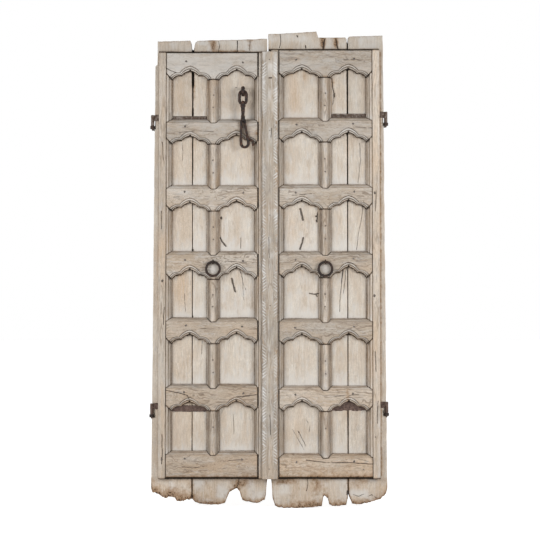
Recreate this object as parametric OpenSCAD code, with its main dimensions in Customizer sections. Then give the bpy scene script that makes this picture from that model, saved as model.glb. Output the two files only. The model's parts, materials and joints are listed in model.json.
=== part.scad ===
// Old plank door of two leaves, with arched rails nailed on, a carved cover strip,
// pin hinges, ring pulls and a chain hasp.
// Frame: +Z up, the front faces -Y. The origin is on the line of the planks' feet, midway
// between the hinge axes, in the plane of the planks' front faces.

/* [Leaf layout] */
// Width of one panel, from the stile's moulding to the muntin
panel_w = 158; // [140:1:190]
// Width of a muntin
muntin_w = 56; // [54:1:70]
// Gap between the two leaves at the foot
leaf_gap = 19; // [14:1:26]
// Flat part of the stile on the hinge side
hinge_flat = 32; // [26:1:50]
// Moulded part of the stile on the hinge side
hinge_moulding = 27; // [20:1:32]
// Flat part of the stile at the meeting line
meeting_flat = 37; // [30:1:50]
// Moulded part of the stile at the meeting line
meeting_moulding = 19; // [14:1:24]

/* [Planks] */
// Thickness of the planks
plank_t = 35; // [26:1:50]
// Distance of the left leaf's plank joint from the middle line
left_joint_x = 346; // [330:1:360]
// Distance of the right leaf's plank joint from the middle line
right_joint_x = 354; // [330:1:360]
// Open seam between the two planks of a leaf
plank_seam = 2; // [0.5:0.5:4]
// Planks beyond the hinge stile at the foot
margin_foot = 33; // [26:1:40]
// Planks beyond the hinge stile at the top
margin_top = 18; // [12:1:24]
// How far the right leaf's meeting edge leans to the left at the top
right_edge_lean = 13; // [0:1:14]
// Width of the piece broken out of the left leaf's top corner
top_break_w = 9; // [4:1:12]
// Height of the piece broken out of the left leaf's top corner
top_break_h = 112; // [60:2:140]

/* [Framing] */
// Thickness of stiles and rails
framing_t = 28; // [22:1:36]
// Open joint between rails, stiles and muntins
joint_gap = 2; // [0.5:0.5:3]
// Thickness of the mouldings at the panel
lip_t = 8; // [6:1:10]
// Height of the small steps in the mouldings
moulding_step = 4; // [2:0.5:5]
// Height of the stiles' feet
stile_foot_z = 134; // [120:1:150]
// Rounding of the stile's outer edge
stile_round = 2; // [1:0.5:4]
// Stiles above the top rail
stile_over = 4; // [0:1:12]

/* [Rails] */
// Top edge of the left leaf's bottom rail
left_bottom_rail_top = 255; // [245:1:265]
// Top edge of the right leaf's bottom rail
right_bottom_rail_top = 243; // [240:1:265]
// Spacing of the left leaf's rails
left_rail_pitch = 298; // [270:1:320]
// Spacing of the right leaf's rails
right_rail_pitch = 302; // [270:1:320]
// Height of an arched rail, down to the tip between its arches
rail_h = 112; // [104:1:124]
// Height of the bevel along a rail's top edge
bevel_h = 18; // [12:1:20]
// Stiles below the bottom rail
bottom_rail_lift = 7; // [0:1:12]

/* [Arches] */
// Width of the flat tip between two arches
tip_w = 48; // [44:1:52]
// Height of the arch's point above its springing
arch_rise = 45; // [40:1:50]
// Distance of the cusp from the springing
cusp_run = 42; // [38:1:46]
// Height of the cusp above the springing
cusp_rise = 22; // [18:1:26]
// Radius of the lobe below the cusp
lower_lobe_r = 38; // [34:1:44]
// Radius of the lobe above the cusp
upper_lobe_r = 62; // [54:1:80]
// Number of steps carved along an arch
arch_steps = 3; // [2:1:3]
// Width of a carved step
step_w = 6; // [4:0.5:7]
// Depth of a carved step
step_d = 4; // [2:0.5:5]
// Radius of the hole drilled at the arch's point
apex_hole_r = 3.5; // [2:0.5:5]
// Depth of the hole drilled at the arch's point
apex_hole_d = 18; // [10:1:22]

/* [Muntins] */
// Thickness of a muntin at its ridge
muntin_t = 25; // [20:1:28]
// Width of the ridge's flat top
ridge_flat = 16; // [10:1:20]
// Width of the fillet along each side
fillet_w = 6; // [4:0.5:8]
// Height of the step beside the fillet
muntin_step = 5; // [3:0.5:6]

/* [Astragal] */
// Width of the cover strip
astragal_w = 72; // [66:1:76]
// Thickness of the cover strip
astragal_t = 20; // [16:1:26]
// Middle of the cover strip, right of the middle line
astragal_shift = 3; // [0:0.5:4]
// Clearance between the cover strip and the right leaf
astragal_clear = 0.6; // [0.4:0.1:1.5]
// Width of the plain middle band
band_w = 24; // [18:1:30]
// Thickness of the cover strip at its edges
astragal_edge_t = 9; // [6:1:12]
// Spacing of the leaf cuts within a spray
cut_pitch = 14; // [12:0.5:18]
// Number of leaf cuts in a spray
cuts_per_spray = 5; // [3:1:6]
// Plain length between two sprays
spray_gap = 26; // [20:1:40]
// Depth of a leaf cut
cut_d = 4; // [2:0.5:5]
// Slope of the leaf cuts
cut_angle = 38; // [25:1:50]

/* [Hinges] */
// Height of a strap
strap_h = 28; // [22:1:34]
// Thickness of a strap
strap_t = 6; // [4:0.5:8]
// Straps past the middle of the muntins
strap_past = 3; // [0:1:10]
// Middle of the left leaf's upper strap
left_upper_strap_z = 1753; // [1700:1:1780]
// Middle of the left leaf's lower strap
left_lower_strap_z = 455; // [430:1:480]
// Middle of the right leaf's upper strap
right_upper_strap_z = 1768; // [1700:1:1780]
// Middle of the right leaf's lower strap
right_lower_strap_z = 461; // [430:1:480]
// Hinge axis beyond the hinge stile
pin_offset = 30; // [26:1:34]
// Radius of the forged pin below the strap
pin_r = 8; // [7:0.5:10]
// Length of the pin's thick part below the strap
pin_len = 22; // [16:1:30]
// Radius of the journal that turns in the eye
journal_r = 6; // [5:0.5:6.5]
// Running clearance of the journal in the eye
journal_clear = 0.05; // [0.02:0.01:0.1]
// Length of the tapered point below the eye
pin_point = 9; // [6:1:14]
// Wall of the eye
eye_wall = 5; // [4:0.5:6]
// Height of the eye
eye_h = 13; // [13:1:16]
// Gap between the pin's shoulder and the eye
eye_rest = 0.3; // [0.1:0.1:0.6]
// Radius of the spike that carries the eye
spike_r = 5; // [4:0.5:5.5]
// How much thicker the spike's root is beside the plank
root_extra = 1; // [0.5:0.5:2]
// Length of the spike behind the planks
spike_len = 60; // [50:1:90]
// Root of the spike behind the planks
root_len = 3; // [2:1:6]
// Length of the spike's tapered point
spike_point = 14; // [8:1:20]
// Room around the eye in the plank's notch
notch_room = 3; // [2:0.5:5]

/* [Ring pulls] */
// Radius of a pull ring, to the middle of its wire
ring_r = 30; // [26:1:36]
// Radius of the ring's wire
ring_wire_r = 4.5; // [3.5:0.5:5]
// Radius of the staple's wire
ring_staple_r = 3; // [2.5:0.5:4]
// Play of the ring in its staple
ring_play = 0.8; // [0.6:0.1:0.9]
// Radius of the staple's shank in the wood
shank_r = 3.5; // [3:0.5:4]
// Depth of the staple's shank in the plank
shank_depth = 25; // [15:1:25]
// Clearance of a driven shank in its hole
shank_clear = 0.1; // [0.05:0.05:0.3]
// Staple below the rail's top edge
staple_drop = 48; // [44:1:54]

/* [Chain hasp] */
// Distance of the chain from the middle line
chain_x = 118; // [110:1:140]
// Height of the chain's staple
chain_z = 1873; // [1860:1:1885]
// Distance of the chain in front of the planks
chain_y = 36; // [36:1:44]
// Radius of the staple's wire
hasp_staple_r = 4.5; // [3.5:0.5:5]
// Half the height of the staple, to the middle of its wire
hasp_staple_half = 14; // [13:0.5:17]
// Radius of the chain's wire
chain_wire_r = 6; // [5:0.25:6.25]
// Play between the chain's pieces
chain_play = 0.5; // [0.4:0.1:0.8]
// Half the width of the oval link, to the middle of its wire
link_half_w = 14.5; // [14:0.5:16]
// Height of the oval link, to the middle of its wire
link_h = 52; // [46:1:60]
// Distance between the eyes of the bar
bar_len = 76; // [70:1:90]
// Radius of the wire of the bar's eyes
bar_eye_wire_r = 3; // [2.5:0.25:3.5]
// Play of the bar's eyes on the link and the loop
bar_eye_play = 0.5; // [0.4:0.1:0.8]
// Radius of the bar at its eyes
bar_end_r = 8; // [6:0.25:8.5]
// Radius of the bar at its waist
bar_waist_r = 6; // [4.4:0.2:6.8]
// Radius of the loop's narrow end, to the middle of its wire
loop_top_r = 11; // [11:0.5:13]
// Radius of the loop's wide end, to the middle of its wire
loop_foot_r = 15.5; // [14.5:0.5:20]
// Height of the loop, to the middle of its wire
loop_h = 126; // [110:1:140]
// Lean of the loop to the right
loop_lean = 4; // [0:1:4]
// Swelling where the loop's legs are forge welded to its ends
weld = 0.5; // [0.3:0.1:1]
// Radius of the loop's tail
tail_r = 4.2; // [3:0.1:4.5]
// Height of the tail's root above the loop's lower weld
tail_rise = 28; // [20:1:34]
// Reach of the tail to the right
tail_reach = 20; // [14:1:22]
// Length of the tail's drop
tail_drop = 20; // [14:1:24]
// Radius of the knob at the tail's bend
tail_knob_r = 4.8; // [4.6:0.1:5.5]

/* [Hidden] */
$fn = 72;
eps = 0.01;
// How far a cutting body stands past the face that it cuts
past = 1;
LEFT = 0;
RIGHT = 1;
sides = ["left", "right"];
rail_count = 7;
ring_rail = 4;

// Distances from the middle line, from the meeting edge out to the hinge axis
meeting_edge = leaf_gap / 2;
meeting_flat_x = meeting_edge + meeting_flat;
opening_in = meeting_flat_x + meeting_moulding;
opening_out = opening_in + 2 * panel_w + muntin_w;
hinge_flat_x = opening_out + hinge_moulding;
stile_edge = hinge_flat_x + hinge_flat;
edge_foot_x = stile_edge + margin_foot;
edge_top_x = stile_edge + margin_top;
pin_x = stile_edge + pin_offset;
pin_y = strap_t / 2;
muntin_x = (opening_in + opening_out) / 2;
strap_len = pin_x - muntin_x + strap_past;
foot_half = muntin_w / 2 - bevel_h;

// Heights that differ from leaf to leaf, as [left, right]
bottom_rail_tops = [left_bottom_rail_top, right_bottom_rail_top];
rail_pitches = [left_rail_pitch, right_rail_pitch];
joint_xs = [left_joint_x, right_joint_x];
upper_strap_zs = [left_upper_strap_z, right_upper_strap_z];
lower_strap_zs = [left_lower_strap_z, right_lower_strap_z];
bottom_rail_z = stile_foot_z + bottom_rail_lift;

function rail_top(leaf, k) = bottom_rail_tops[leaf] + (rail_count - k) * rail_pitches[leaf];
function rail_foot(leaf, k) = k == rail_count ? bottom_rail_z : rail_top(leaf, k) - rail_h;
function strap_zs(leaf) = [upper_strap_zs[leaf], lower_strap_zs[leaf]];

// Arches: half the span, and the middles of the two lobes on each side
half_span = (panel_w + muntin_w / 2 - tip_w / 2) / 2;
cusp = [cusp_run, cusp_rise];
apex = [half_span, arch_rise];
function lobe_centre(p, q, r) =
    let (chord = q - p, half = norm(chord) / 2)
    (p + q) / 2 + sqrt(r * r - half * half) * [chord.y, -chord.x] / norm(chord);
arch_middles = [opening_in + half_span, opening_out - half_span];

// The stile's moulding, as [share of its width, height above the planks]
moulding_shape = [[0, 0], [0, lip_t], [0.15, lip_t], [0.2, lip_t + moulding_step],
    [0.5, (framing_t + lip_t) / 2], [0.55, framing_t - moulding_step],
    [0.75, framing_t - moulding_step / 2], [0.9, framing_t - moulding_step],
    [1, framing_t - moulding_step], [1, framing_t]];

// Leaf cuts: how far they run past the strip's edge and up its flank, as shares of the flank
cut_over = 0.4;
cut_reach = 1.15;

// Hinges: heights below the strap's middle
pin_shoulder = strap_h / 2 + pin_len;
eye_top = pin_shoulder + eye_rest;
pin_end = eye_top + eye_h + pin_point;
eye_r = journal_r + journal_clear + eye_wall;
notch_depth_y = pin_y + eye_r + notch_room;

// Ring pulls: the staple's eye stands on the rail's face
ring_eye_bore = ring_wire_r + ring_play;
ring_eye_r = ring_eye_bore + ring_staple_r;
ring_y = -framing_t - ring_eye_bore - 2 * ring_staple_r;
function staple_z(leaf) = rail_top(leaf, ring_rail) - staple_drop;

// Chain: heights of the pivots
link_top_z = chain_z - hasp_staple_half + hasp_staple_r + chain_wire_r + chain_play;
bar_top_z = link_top_z - link_h;
loop_top_z = bar_top_z - bar_len;
bar_eye_r = chain_wire_r + bar_eye_play + bar_eye_wire_r;

// Broken ends of the planks: [share of the width from the meeting side, height]. Feet are
// measured from the lowest point, tops from the top rail.
left_inner_foot = [[0, 131], [0.015, 60], [0.03, 38], [0.14, 22], [0.27, 30], [0.33, 37], [0.35, 55],
    [0.37, 76], [0.405, 89], [0.44, 83], [0.5, 71], [0.54, 44], [0.56, 24], [0.62, 18], [0.75, 16],
    [0.9, 19], [0.96, 26], [1, 39]];
left_outer_foot = [[0, 39], [0.12, 37], [0.26, 30], [0.36, 32], [0.41, 46], [0.53, 53], [0.65, 44],
    [0.85, 67], [0.97, 71], [1, 86]];
right_inner_foot = [[0, 133], [0.018, 47], [0.05, 14], [0.1, 4], [0.22, 0], [0.56, 5], [0.66, 8],
    [0.68, 47], [0.695, 58], [0.74, 43], [0.76, 17], [0.8, 10], [0.89, 11], [0.98, 15], [1, 45]];
right_outer_foot = [[0, 62], [0.05, 40], [0.1, 19], [0.25, 17], [0.52, 24], [0.84, 43], [0.97, 65], [1, 92]];
left_inner_top = [[1, 62], [0.5, 66], [0, 71]];
left_outer_top = [[1, 58], [0, 64]];
right_inner_top = [[1, 65], [0.64, 64], [0.62, 92], [0.15, 82], [0, 80]];
right_outer_top = [[1, 74], [0, 69]];

// A flat shape drawn in X and Z, from one depth back to another
module slab(front, back) {
    translate([0, back, 0])
        rotate([90, 0, 0])
            linear_extrude(back - front)
                children();
}

// Pieces are drawn for the right leaf and mirrored for the left one
module on_leaf(leaf) {
    if (leaf == LEFT)
        mirror([1, 0, 0]) children();
    else
        children();
}

// A round wire bent to an arc in X and Z, about the point it is drawn at
module wire_arc(r, wire_r, from, to) {
    rotate([90, 0, 0])
        rotate([0, 0, from])
            rotate_extrude(angle = to - from)
                translate([r, 0])
                    circle(wire_r);
}

// A closed round ring with its hole along X
module wire_eye(r, wire_r) {
    rotate([0, 90, 0])
        rotate_extrude()
            translate([r, 0])
                circle(wire_r);
}

// A round bar between two points in X and Z
module wire_leg(p, q, wire_r) {
    run = q - p;
    translate([p.x, 0, p.y])
        rotate([0, 90 - atan2(run.y, run.x), 0])
            cylinder(r = wire_r, h = norm(run));
}

// What the hinge pin needs at the plank's edge: room for the pin beside the strap, a notch
// for the eye and a way back for its spike
module hinge_notch() {
    out = edge_foot_x + pin_r;
    barrel_in = pin_x - pin_r - notch_room / 2;
    eye_in = pin_x - eye_r - notch_room;
    spike_in = pin_x - spike_r - root_extra - notch_room / 2;
    low = -pin_end - notch_room;
    translate([barrel_in, -past, -strap_h / 2 - eps])
        cube([out - barrel_in, pin_y + pin_r + notch_room / 2 + past, strap_h + notch_room / 2]);
    translate([eye_in, -past, low])
        cube([out - eye_in, notch_depth_y + past, -strap_h / 2 - low]);
    translate([spike_in, -past, low])
        cube([out - spike_in, plank_t + 2 * past, -pin_shoulder + notch_room - low]);
}

module strap_plate() {
    translate([pin_x - strap_len, 0, -strap_h / 2])
        cube([strap_len, strap_t, strap_h]);
}

module plank(leaf, foot, top, x_in, x_out, x_in_top, x_out_top, corner) {
    head = rail_top(leaf, 1);
    outline = concat(
        [for (p = foot) [x_in + p.x * (x_out - x_in), p.y]],
        corner,
        [for (p = top) [x_in_top + p.x * (x_out_top - x_in_top), head + p.y]]
    );
    on_leaf(leaf)
        difference() {
            slab(0, plank_t)
                polygon(outline);
            for (z = strap_zs(leaf))
                translate([0, 0, z]) {
                    strap_plate();
                    hinge_notch();
                }
            translate([muntin_x, -past, staple_z(leaf)])
                rotate([-90, 0, 0])
                    cylinder(r = shank_r + shank_clear, h = shank_depth + past);
            if (leaf == LEFT)
                hasp_staple_legs(shank_clear);
        }
}

module inner_plank(leaf) {
    foot = leaf == LEFT ? left_inner_foot : right_inner_foot;
    top = leaf == LEFT ? left_inner_top : right_inner_top;
    lean = leaf == LEFT ? 0 : right_edge_lean;
    side = joint_xs[leaf] - plank_seam / 2;
    color("wheat")
        plank(leaf, foot, top, meeting_edge, side, meeting_edge - lean, side, []);
}

module outer_plank(leaf) {
    foot = leaf == LEFT ? left_outer_foot : right_outer_foot;
    top = leaf == LEFT ? left_outer_top : right_outer_top;
    side = joint_xs[leaf] + plank_seam / 2;
    broken = leaf == LEFT ? top_break_w : 0;
    break_z = rail_top(leaf, 1) + top[0].y - top_break_h;
    corner = leaf == LEFT ? [[edge_top_x, break_z], [edge_top_x - broken, break_z]] : [];
    color("wheat")
        plank(leaf, foot, top, side, edge_foot_x, side, edge_top_x - broken, corner);
}

// Outline of a rail with its mitred ends, from its foot up. Inset leaves the open joint.
function rail_outline(h, top_cut, foot_cut, inset) =
    let (
        flat_in = meeting_flat_x + inset,
        flat_out = hinge_flat_x - inset,
        in = opening_in + inset,
        out = opening_out - inset
    )
    concat(
        foot_cut ? [[flat_in, meeting_moulding], [in, 0], [out, 0], [flat_out, hinge_moulding]]
            : [[flat_in, 0], [flat_out, 0]],
        top_cut ? [[flat_out, h - bevel_h], [out, h], [in, h], [flat_in, h - bevel_h]]
            : [[flat_out, h], [flat_in, h]]
    );

// One half of a cusped arch, from its springing to its point, grown by a carved step
module half_arch(grow) {
    reach = half_span + grow;
    intersection() {
        union() {
            translate(lobe_centre([0, 0], cusp, lower_lobe_r))
                circle(lower_lobe_r + grow);
            translate(lobe_centre(cusp, apex, upper_lobe_r))
                circle(upper_lobe_r + grow);
        }
        translate([-grow - reach, -past])
            square([half_span + grow + reach, arch_rise + reach]);
    }
}

// The opening of one arch and the steps carved along it
module arch_cut() {
    for (step = [0:arch_steps])
        slab(-framing_t - past, step == 0 ? past : -framing_t + (arch_steps + 1 - step) * step_d)
            for (side = [0, 1])
                mirror([side, 0])
                    translate([-half_span, 0])
                        half_arch(step * step_w);
    translate([0, -framing_t - past, arch_rise + apex_hole_r / 2])
        rotate([-90, 0, 0])
            cylinder(r = apex_hole_r, h = apex_hole_d + past);
}

// The moulded bevel along a rail's top edge, cut from end to end
module top_bevel(h) {
    fillet = bevel_h / 4;
    middle_t = (framing_t + lip_t) / 2;
    translate([meeting_flat_x, 0, h])
        rotate([90, 0, 90])
            linear_extrude(hinge_flat_x - meeting_flat_x)
                polygon([[-lip_t, past], [-lip_t, 0], [-lip_t - fillet, -fillet], [-middle_t, -fillet],
                    [-framing_t + fillet / 2, fillet / 2 - bevel_h],
                    [-framing_t - past, fillet / 2 - bevel_h], [-framing_t - past, past]]);
}

// Outline of the muntin's foot, which is let into the rail below it
function muntin_foot(grow) = [[-muntin_w / 2 - grow, past], [-muntin_w / 2 - grow, 0],
    [-foot_half - grow, -bevel_h - grow], [foot_half + grow, -bevel_h - grow],
    [muntin_w / 2 + grow, 0], [muntin_w / 2 + grow, past]];

module rail(leaf, k) {
    h = rail_top(leaf, k) - rail_foot(leaf, k);
    color("tan")
        on_leaf(leaf)
            translate([0, 0, rail_foot(leaf, k)])
                difference() {
                    slab(-framing_t, 0)
                        polygon(rail_outline(h, k > 1, k < rail_count, joint_gap));
                    if (k < rail_count)
                        for (x = arch_middles)
                            translate([x, 0, 0])
                                arch_cut();
                    if (k > 1) {
                        top_bevel(h);
                        translate([muntin_x, 0, h])
                            slab(-framing_t - past, past)
                                polygon(muntin_foot(joint_gap));
                    }
                    if (k == ring_rail)
                        translate([muntin_x, -framing_t - past, h - staple_drop])
                            rotate([-90, 0, 0])
                                cylinder(r = shank_r + shank_clear, h = framing_t + 2 * past);
                }
}

// The ends of all rails, cut out of the stiles' mouldings
module rail_ends(leaf) {
    for (k = [1:rail_count]) {
        over = k == 1 ? 2 * stile_over + past : 0;
        under = k == rail_count ? 2 * bottom_rail_lift + past : 0;
        h = rail_top(leaf, k) - rail_foot(leaf, k) + over + under;
        translate([0, 0, rail_foot(leaf, k) - under])
            slab(-framing_t - past, past)
                polygon(rail_outline(h, k > 1, k < rail_count, 0));
    }
}

module stile_bar(leaf, profile) {
    length = rail_top(leaf, 1) + stile_over - stile_foot_z;
    on_leaf(leaf)
        difference() {
            translate([0, 0, stile_foot_z])
                linear_extrude(length)
                    polygon(profile);
            rail_ends(leaf);
        }
}

// Moulding from the panel's edge up to the flat face: a lip, a slope, a bead and a quirk.
// At is the panel's edge, run the signed way to the flat.
function moulding(at, run) = [for (p = moulding_shape) [at + p.x * run, -p.y]];

module hinge_stile(leaf) {
    color("tan")
        stile_bar(leaf, concat(moulding(opening_out, hinge_moulding),
            [[stile_edge - stile_round, -framing_t], [stile_edge, stile_round - framing_t],
                [stile_edge, 0]]));
}

module meeting_stile(leaf) {
    color("tan")
        stile_bar(leaf, concat(moulding(opening_in, -meeting_moulding),
            [[meeting_edge, -framing_t], [meeting_edge, 0]]));
}

// A muntin: fillets along its sides and a faceted half round between them
module muntin(leaf, k) {
    half = muntin_w / 2;
    shoulder = half - fillet_w;
    fillet_top = lip_t + moulding_step / 2;
    profile_half = [[half, -lip_t], [shoulder, -fillet_top], [shoulder, -fillet_top - muntin_step],
        [shoulder - moulding_step, -fillet_top - muntin_step - past],
        [(shoulder + ridge_flat / 2) / 2, moulding_step - past - muntin_t], [ridge_flat / 2, -muntin_t]];
    profile = concat([[half, 0]], profile_half,
        [for (j = [len(profile_half) - 1:-1:0]) [-profile_half[j].x, profile_half[j].y]], [[-half, 0]]);
    seat = rail_top(leaf, k + 1);
    length = rail_foot(leaf, k) - joint_gap / 2 - seat;
    color("burlywood")
        on_leaf(leaf)
            translate([muntin_x, 0, seat])
                intersection() {
                    translate([0, 0, -bevel_h])
                        linear_extrude(length + bevel_h)
                            polygon(profile);
                    slab(-framing_t - past, past)
                        polygon(concat(muntin_foot(0), [[half + past, past], [half + past, length],
                            [-half - past, length], [-half - past, past]]));
                }
}

// The cover strip: a plain middle band between two sloping flanks, cut with sprays of leaves
// that point up and down by turns. Its right half stands just clear of the right leaf.
module astragal() {
    half = astragal_w / 2;
    foot = stile_foot_z;
    length = rail_top(LEFT, 1) + stile_over - foot;
    flank = half - band_w / 2;
    spray_h = cuts_per_spray * cut_pitch;
    spray_pitch = spray_h + spray_gap;
    sprays = floor((length - spray_gap) / spray_pitch);
    first = (length - sprays * spray_pitch + spray_gap) / 2;
    slope = atan2(astragal_t - astragal_edge_t, flank);
    color("tan")
        translate([astragal_shift, -framing_t, foot])
            difference() {
                linear_extrude(length)
                    polygon([[-half, 0], [-half, -astragal_edge_t], [-band_w / 2, -astragal_t],
                        [band_w / 2, -astragal_t], [half, -astragal_edge_t], [half, -astragal_clear],
                        [-astragal_shift, -astragal_clear], [-astragal_shift, 0]]);
                for (s = [0:sprays - 1], c = [0:cuts_per_spray - 1], side = [-1, 1])
                    translate([side * half, -astragal_edge_t,
                        first + s * spray_pitch + (c + 0.5) * cut_pitch])
                        rotate([0, 0, side * slope])
                            rotate([0, side * (s % 2 == 0 ? cut_angle : -cut_angle), 0])
                                leaf_cut(side, flank);
            }
}

// One leaf: a triangular groove that runs up a flank
module leaf_cut(side, flank) {
    rotate([0, -90 * side, 0])
        translate([0, 0, -flank * cut_over])
            linear_extrude(flank * (cut_reach + cut_over))
                polygon([[-cut_d, -past], [cut_d, -past], [0, cut_d]]);
}

// A strap forged in one with its pin: thick part, shoulder, journal and tapered point
module strap(leaf, z) {
    color("saddlebrown")
        on_leaf(leaf)
            translate([0, 0, z])
                union() {
                    strap_plate();
                    translate([pin_x, pin_y, -pin_shoulder])
                        cylinder(r = pin_r, h = pin_shoulder + strap_h / 2);
                    translate([pin_x, pin_y, -eye_top - eye_h])
                        cylinder(r = journal_r, h = eye_h + eye_rest + past);
                    translate([pin_x, pin_y, -pin_end])
                        cylinder(r1 = journal_r / 2, r2 = journal_r, h = pin_point);
                }
}

// The eye that a pin turns in, with the spike that is driven into the post
module hinge_eye(leaf, z) {
    back = plank_t + spike_len - pin_y;
    root = plank_t + root_len - pin_y;
    color("dimgray")
        on_leaf(leaf)
            translate([pin_x, pin_y, z - eye_top - eye_h])
                difference() {
                    union() {
                        cylinder(r = eye_r, h = eye_h);
                        translate([0, 0, eye_h / 2])
                            rotate([-90, 0, 0]) {
                                cylinder(r = spike_r + root_extra, h = root);
                                cylinder(r = spike_r, h = back - spike_point);
                                translate([0, 0, back - spike_point])
                                    cylinder(r1 = spike_r, r2 = spike_r / 4, h = spike_point);
                            }
                    }
                    translate([0, 0, -past])
                        cylinder(r = journal_r + journal_clear, h = eye_h + 2 * past);
                }
}

module ring_staple(leaf) {
    color("dimgray")
        on_leaf(leaf)
            translate([muntin_x, 0, staple_z(leaf)]) {
                translate([0, ring_y, 0])
                    wire_eye(ring_eye_r, ring_staple_r);
                translate([0, ring_y + ring_eye_r, 0])
                    rotate([-90, 0, 0])
                        cylinder(r = shank_r, h = shank_depth - ring_y - ring_eye_r);
            }
}

module pull_ring(leaf) {
    color("dimgray")
        on_leaf(leaf)
            translate([muntin_x, ring_y, staple_z(leaf) - ring_r])
                rotate([90, 0, 0])
                    rotate_extrude()
                        translate([ring_r, 0])
                            circle(ring_wire_r);
}

// The two legs of the chain's staple, drawn for the right side like all pieces of a leaf
module hasp_staple_legs(clear) {
    for (side = [-1, 1])
        translate([chain_x, -chain_y, chain_z + side * hasp_staple_half])
            rotate([-90, 0, 0])
                cylinder(r = hasp_staple_r + clear, h = chain_y + shank_depth);
}

module chain_staple() {
    color("dimgray")
        on_leaf(LEFT) {
            hasp_staple_legs(0);
            translate([chain_x, -chain_y, chain_z])
                rotate([0, 0, 90])
                    wire_arc(hasp_staple_half, hasp_staple_r, 90, 270);
        }
}

module chain_link() {
    low = link_h - 2 * link_half_w;
    color("dimgray")
        translate([-chain_x, -chain_y, link_top_z - link_half_w]) {
            wire_arc(link_half_w, chain_wire_r, 0, 180);
            translate([0, 0, -low])
                wire_arc(link_half_w, chain_wire_r, 180, 360);
            for (side = [-1, 1])
                translate([side * link_half_w, 0, -low])
                    cylinder(r = chain_wire_r, h = low);
        }
}

module chain_bar() {
    shaft = bar_len - 2 * bar_eye_r;
    color("dimgray")
        translate([-chain_x, -chain_y, bar_top_z]) {
            wire_eye(bar_eye_r, bar_eye_wire_r);
            translate([0, 0, -bar_len])
                wire_eye(bar_eye_r, bar_eye_wire_r);
            translate([0, 0, bar_eye_r - bar_len])
                rotate_extrude()
                    polygon([[0, 0], [bar_end_r, 0], [bar_waist_r, shaft / 3], [bar_waist_r, shaft * 2 / 3],
                        [bar_end_r, shaft], [0, shaft]]);
        }
}

// The long loop: two arcs and two legs, forge welded where they meet, with a small tail on
// its right leg
module chain_loop() {
    run = loop_h - loop_top_r - loop_foot_r;
    tilt = asin((loop_foot_r - loop_top_r) / run);
    normal = [cos(tilt), sin(tilt)];
    top = [0, -loop_top_r];
    foot = [0, -loop_top_r - run];
    top_weld = top + loop_top_r * normal;
    foot_weld = foot + loop_foot_r * normal;
    leg = (top_weld - foot_weld) / norm(top_weld - foot_weld);
    top_trim = weld * 180 / PI / loop_top_r;
    foot_trim = weld * 180 / PI / loop_foot_r;
    tail_root = foot_weld + tail_rise * leg;
    tail_bend = tail_root + tail_reach * [1, -1];
    color("dimgray")
        translate([-chain_x, -chain_y, loop_top_z])
            rotate([0, -loop_lean, 0]) {
                translate([0, 0, top.y])
                    wire_arc(loop_top_r, chain_wire_r, tilt + top_trim, 180 - tilt - top_trim);
                translate([0, 0, foot.y])
                    wire_arc(loop_foot_r, chain_wire_r, 180 - tilt + foot_trim, 360 + tilt - foot_trim);
                for (side = [0, 1])
                    mirror([side, 0, 0]) {
                        wire_leg(foot_weld + weld * leg, top_weld - weld * leg, chain_wire_r);
                        for (p = [foot_weld, top_weld])
                            translate([p.x, 0, p.y])
                                sphere(chain_wire_r + weld);
                    }
                wire_leg(tail_root, tail_bend, tail_r);
                translate([tail_bend.x, 0, tail_bend.y])
                    sphere(tail_knob_r);
                wire_leg(tail_bend, tail_bend - [0, tail_drop], tail_r);
            }
}

for (leaf = [LEFT, RIGHT]) {
    hinge_eye(leaf, upper_strap_zs[leaf]);
    hinge_eye(leaf, lower_strap_zs[leaf]);
    outer_plank(leaf);
    inner_plank(leaf);
    hinge_stile(leaf);
    meeting_stile(leaf);
    strap(leaf, upper_strap_zs[leaf]);
    strap(leaf, lower_strap_zs[leaf]);
    ring_staple(leaf);
    pull_ring(leaf);
    for (k = [1:rail_count])
        rail(leaf, k);
    for (k = [1:rail_count - 1])
        muntin(leaf, k);
}
astragal();
chain_staple();
chain_link();
chain_bar();
chain_loop();
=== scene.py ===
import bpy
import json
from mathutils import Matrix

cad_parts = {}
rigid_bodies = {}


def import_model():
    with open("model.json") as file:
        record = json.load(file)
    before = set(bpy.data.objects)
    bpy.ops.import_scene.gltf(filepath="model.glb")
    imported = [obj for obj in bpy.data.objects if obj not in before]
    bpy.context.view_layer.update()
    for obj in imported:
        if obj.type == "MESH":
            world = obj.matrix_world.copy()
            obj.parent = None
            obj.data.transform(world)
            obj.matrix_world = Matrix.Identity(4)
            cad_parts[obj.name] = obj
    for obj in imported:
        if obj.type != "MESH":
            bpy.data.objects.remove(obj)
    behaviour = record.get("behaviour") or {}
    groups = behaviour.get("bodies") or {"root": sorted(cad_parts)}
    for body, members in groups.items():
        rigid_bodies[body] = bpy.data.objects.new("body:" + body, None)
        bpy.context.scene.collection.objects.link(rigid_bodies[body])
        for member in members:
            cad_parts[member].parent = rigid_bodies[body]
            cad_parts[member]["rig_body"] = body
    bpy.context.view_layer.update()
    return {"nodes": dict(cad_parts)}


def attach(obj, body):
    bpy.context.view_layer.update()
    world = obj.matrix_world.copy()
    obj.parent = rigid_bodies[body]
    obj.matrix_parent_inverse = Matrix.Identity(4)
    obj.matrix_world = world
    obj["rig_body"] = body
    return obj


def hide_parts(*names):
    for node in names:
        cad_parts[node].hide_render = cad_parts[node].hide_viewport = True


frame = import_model()

import json
import math

import bmesh
import bpy
import numpy as np

# Planks: each leaf is two thick sawn planks of bleached hardwood, set edge to edge and held together
# by the framing nailed on their faces. Their feet have rotted away and their tops are split, and the
# joint between them has opened. Sizes are in millimetres, and x is measured outwards from the middle line.
LEAVES = {"left": -1, "right": 1}
MEETING_EDGE = 9.5
PLANK_THICK = 35
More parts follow.
